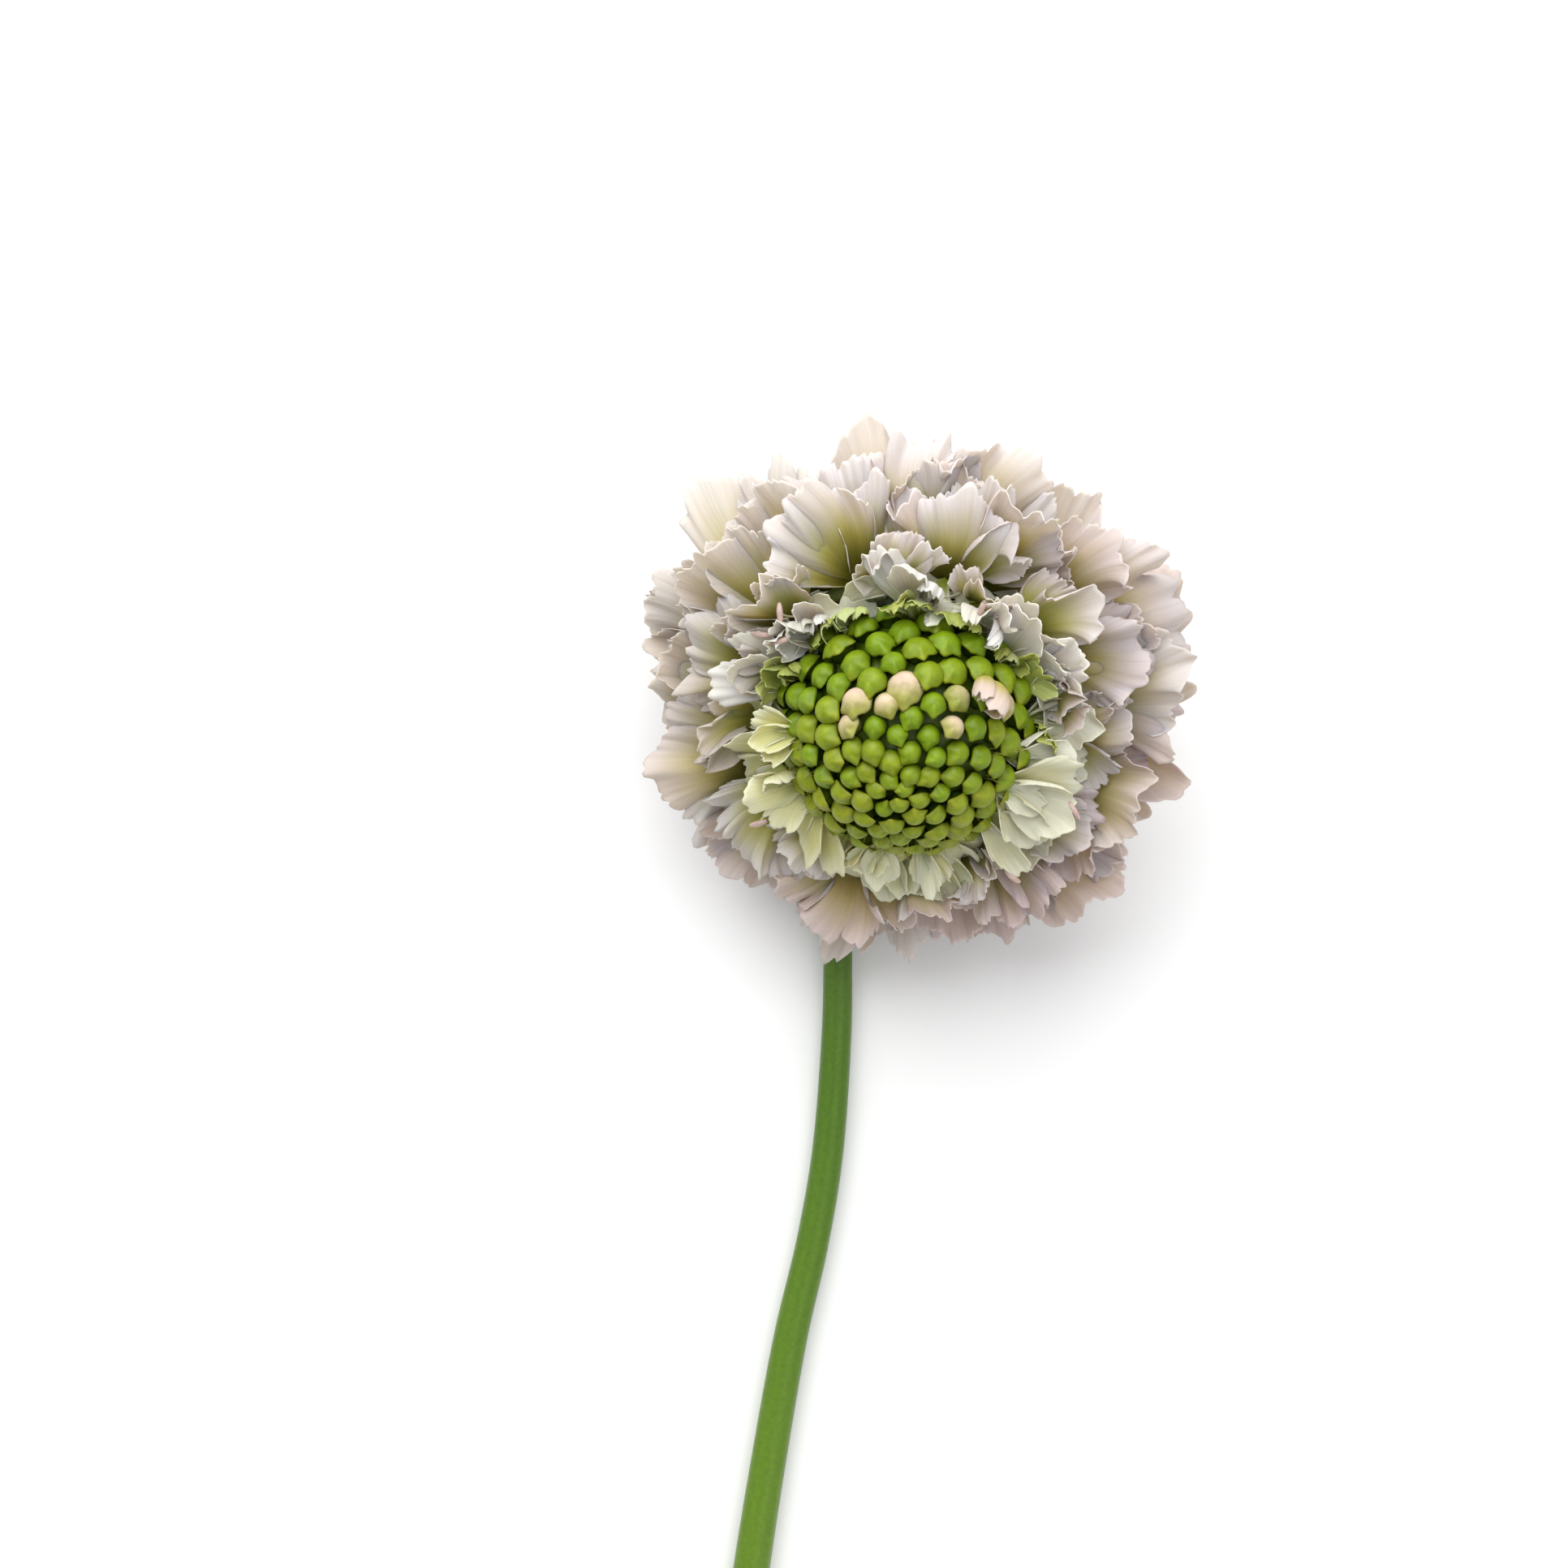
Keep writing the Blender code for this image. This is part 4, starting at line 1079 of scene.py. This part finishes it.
def make_bracts(finish):
    """Narrow pointed bracts: a blade widest a third of the way out, keeled along its middle and bent back."""
    number = np.arange(BRACTS)
    azimuth = 2 * pi * (number + 0.35) / BRACTS
    fall = BRACT_FALL - radians(5.0) * (number % 2)
    length = BRACT_LENGTH * (1.0 - 0.12 * (number % 3) / 2)
    out, under = leaned(outward(azimuth), np.broadcast_to(FACE, (BRACTS, 3)), fall)
    aside = np.cross(FACE, outward(azimuth))
    root = bloom_point(np.full(BRACTS, 4.6 * MM), azimuth, np.full(BRACTS, -1.75 * MM))
    along = np.linspace(0.0, 1.0, 25)[None, :, None]
    across = np.linspace(-1.0, 1.0, 13)[None, None, :]
    width = np.interp(along, (0.0, 0.15, 0.35, 0.7, 0.93, 1.0), (0.75, 0.92, 1.0, 0.62, 0.2, 0.04))
    keel = 0.35 * MM * (1 - np.abs(across)) + 0.05 * MM * np.cos(9 * pi * across)
    ripple = 0.12 * MM * np.sin(5 * pi * along + number[:, None, None]) * across**2
    lift = keel * np.sqrt(width) - 1.2 * MM * along**2 + ripple
    points = (
        root[:, None, None]
        + (length[:, None, None] * along)[..., None] * out[:, None, None]
        + (BRACT_HALF_WIDTH * width * across)[..., None] * aside[:, None, None]
        + lift[..., None] * under[:, None, None]
    )
    thickness = np.broadcast_to(BRACT_THICKNESS * (1 - 0.55 * np.abs(across)), points.shape[:3])
    body, quads, rim = thin_shells(points, thickness)
    tone = mix(BRACT_GREEN, BRACT_RIB, 0.5 + 0.5 * np.cos(9 * pi * across))
    tone = mix(tone, BRACT_TIP, 0.6 * smooth(0.85, 1.0, along))
    colours = np.tile(np.broadcast_to(tone, points.shape).reshape(-1, 3), (2, 1))
    put_piece("bracts", body, [quads, rim], colours, finish, ("involucre",), len(rim))
    points = turned_surface(DISC, DISC_SIDES, 0.012)
    put_piece("bract_disc", points, closed_tubes((1, *points.shape[:2])), DISC_GREEN, finish)


# Surroundings

PIXEL_AT_BLOOM = 0.108 * MM  # of the photograph, at the height named next
SCALE_HEIGHT = 22 * MM
FRAME_PIXELS = 1932
BASE_PIXEL = (1130, 842)  # where the bloom's base lies in the photograph
CAMERA_DISTANCE = 0.49
SENSOR_WIDTH = 36.0  # mm, of the camera
WORLD_LIGHT = 0.44
PANELS = (  # name, size, watts, place from the bloom, all in metres
    ("key_panel", 0.90, 8.8, (-0.12, 0.48, 0.50)),
    ("fill_panel", 1.00, 2.0, (0.40, -0.20, 0.55)),
)


def make_surroundings():
    """A camera that looks straight down, a pale floor and soft light from large panels aimed at the bloom."""
    scene = bpy.context.scene
    camera = bpy.data.objects.new("camera", bpy.data.cameras.new("camera"))
    scene.collection.objects.link(camera)
    away = CAMERA_DISTANCE + SCALE_HEIGHT - BLOOM_BASE[2]
    pixel = PIXEL_AT_BLOOM * away / CAMERA_DISTANCE
    x = BLOOM_BASE[0] - (BASE_PIXEL[0] - FRAME_PIXELS / 2) * pixel
    y = BLOOM_BASE[1] - (FRAME_PIXELS / 2 - BASE_PIXEL[1]) * pixel
    camera.location = (x, y, SCALE_HEIGHT + CAMERA_DISTANCE)
    camera.data.sensor_width = SENSOR_WIDTH
    camera.data.lens = SENSOR_WIDTH * CAMERA_DISTANCE / (FRAME_PIXELS * PIXEL_AT_BLOOM)
    camera.data.clip_start = 0.01
    scene.camera = camera

    floor_finish, shader, _, fill = new_material("pale_floor")
    fill(shader, {"Base Color": (0.93, 0.93, 0.93, 1.0), "Roughness": 0.8})
    bpy.ops.mesh.primitive_plane_add(size=6.0, location=(0.0, 0.0, FLOOR))
    floor = bpy.context.object
    floor.name = "floor"
    floor.data.materials.append(floor_finish)

    world = bpy.data.worlds.new("studio")
    world.use_nodes = True
    sky = world.node_tree.nodes["Background"]
    sky.inputs["Color"].default_value = (1.0, 1.0, 1.0, 1.0)
    sky.inputs["Strength"].default_value = WORLD_LIGHT
    scene.world = world
    scene.view_settings.view_transform = "Standard"
    for name, size, watts, place in PANELS:
        lamp = bpy.data.lights.new(name, "AREA")
        lamp.shape = "SQUARE"
        lamp.size = size
        lamp.energy = watts
        panel = bpy.data.objects.new(name, lamp)
        scene.collection.objects.link(panel)
        panel.location = BLOOM_BASE + np.array(place)
        aim = unit(-np.array(place))
        panel.rotation_euler = (acos(-aim[2]), 0.0, atan2(-aim[0], aim[1]))


def corners(box):
    """The two corners of a box as plain numbers."""
    return [[float(number) for number in corner] for corner in box]


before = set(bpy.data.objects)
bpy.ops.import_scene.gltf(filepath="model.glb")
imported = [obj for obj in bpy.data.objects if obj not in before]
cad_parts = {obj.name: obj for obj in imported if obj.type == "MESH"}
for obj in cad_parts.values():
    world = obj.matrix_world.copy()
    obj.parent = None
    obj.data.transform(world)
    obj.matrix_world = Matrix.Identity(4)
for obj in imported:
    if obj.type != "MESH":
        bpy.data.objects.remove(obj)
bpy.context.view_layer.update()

make_surroundings()
petal = petal_material("petal", veining=0.12, flush=(0.94, 0.85, 0.80))
bud = plant_material("bud", mottle=0.16, roughness=0.40, fineness=900.0, depth=0.08 * MM, gloss=0.03)
bract = plant_material("bract", mottle=0.20, roughness=0.55, fineness=1400.0, depth=0.10 * MM)
stalk = plant_material("stem", mottle=0.10, roughness=0.40, fineness=1500.0, depth=0.03 * MM, gloss=0.10)
guide, _ = stem_route(52)
make_petals(petal, guide)
make_buds(bud)
make_hidden_bodies(petal, bud)
make_threads(bud)
make_stem(stalk)
make_bracts(bract)
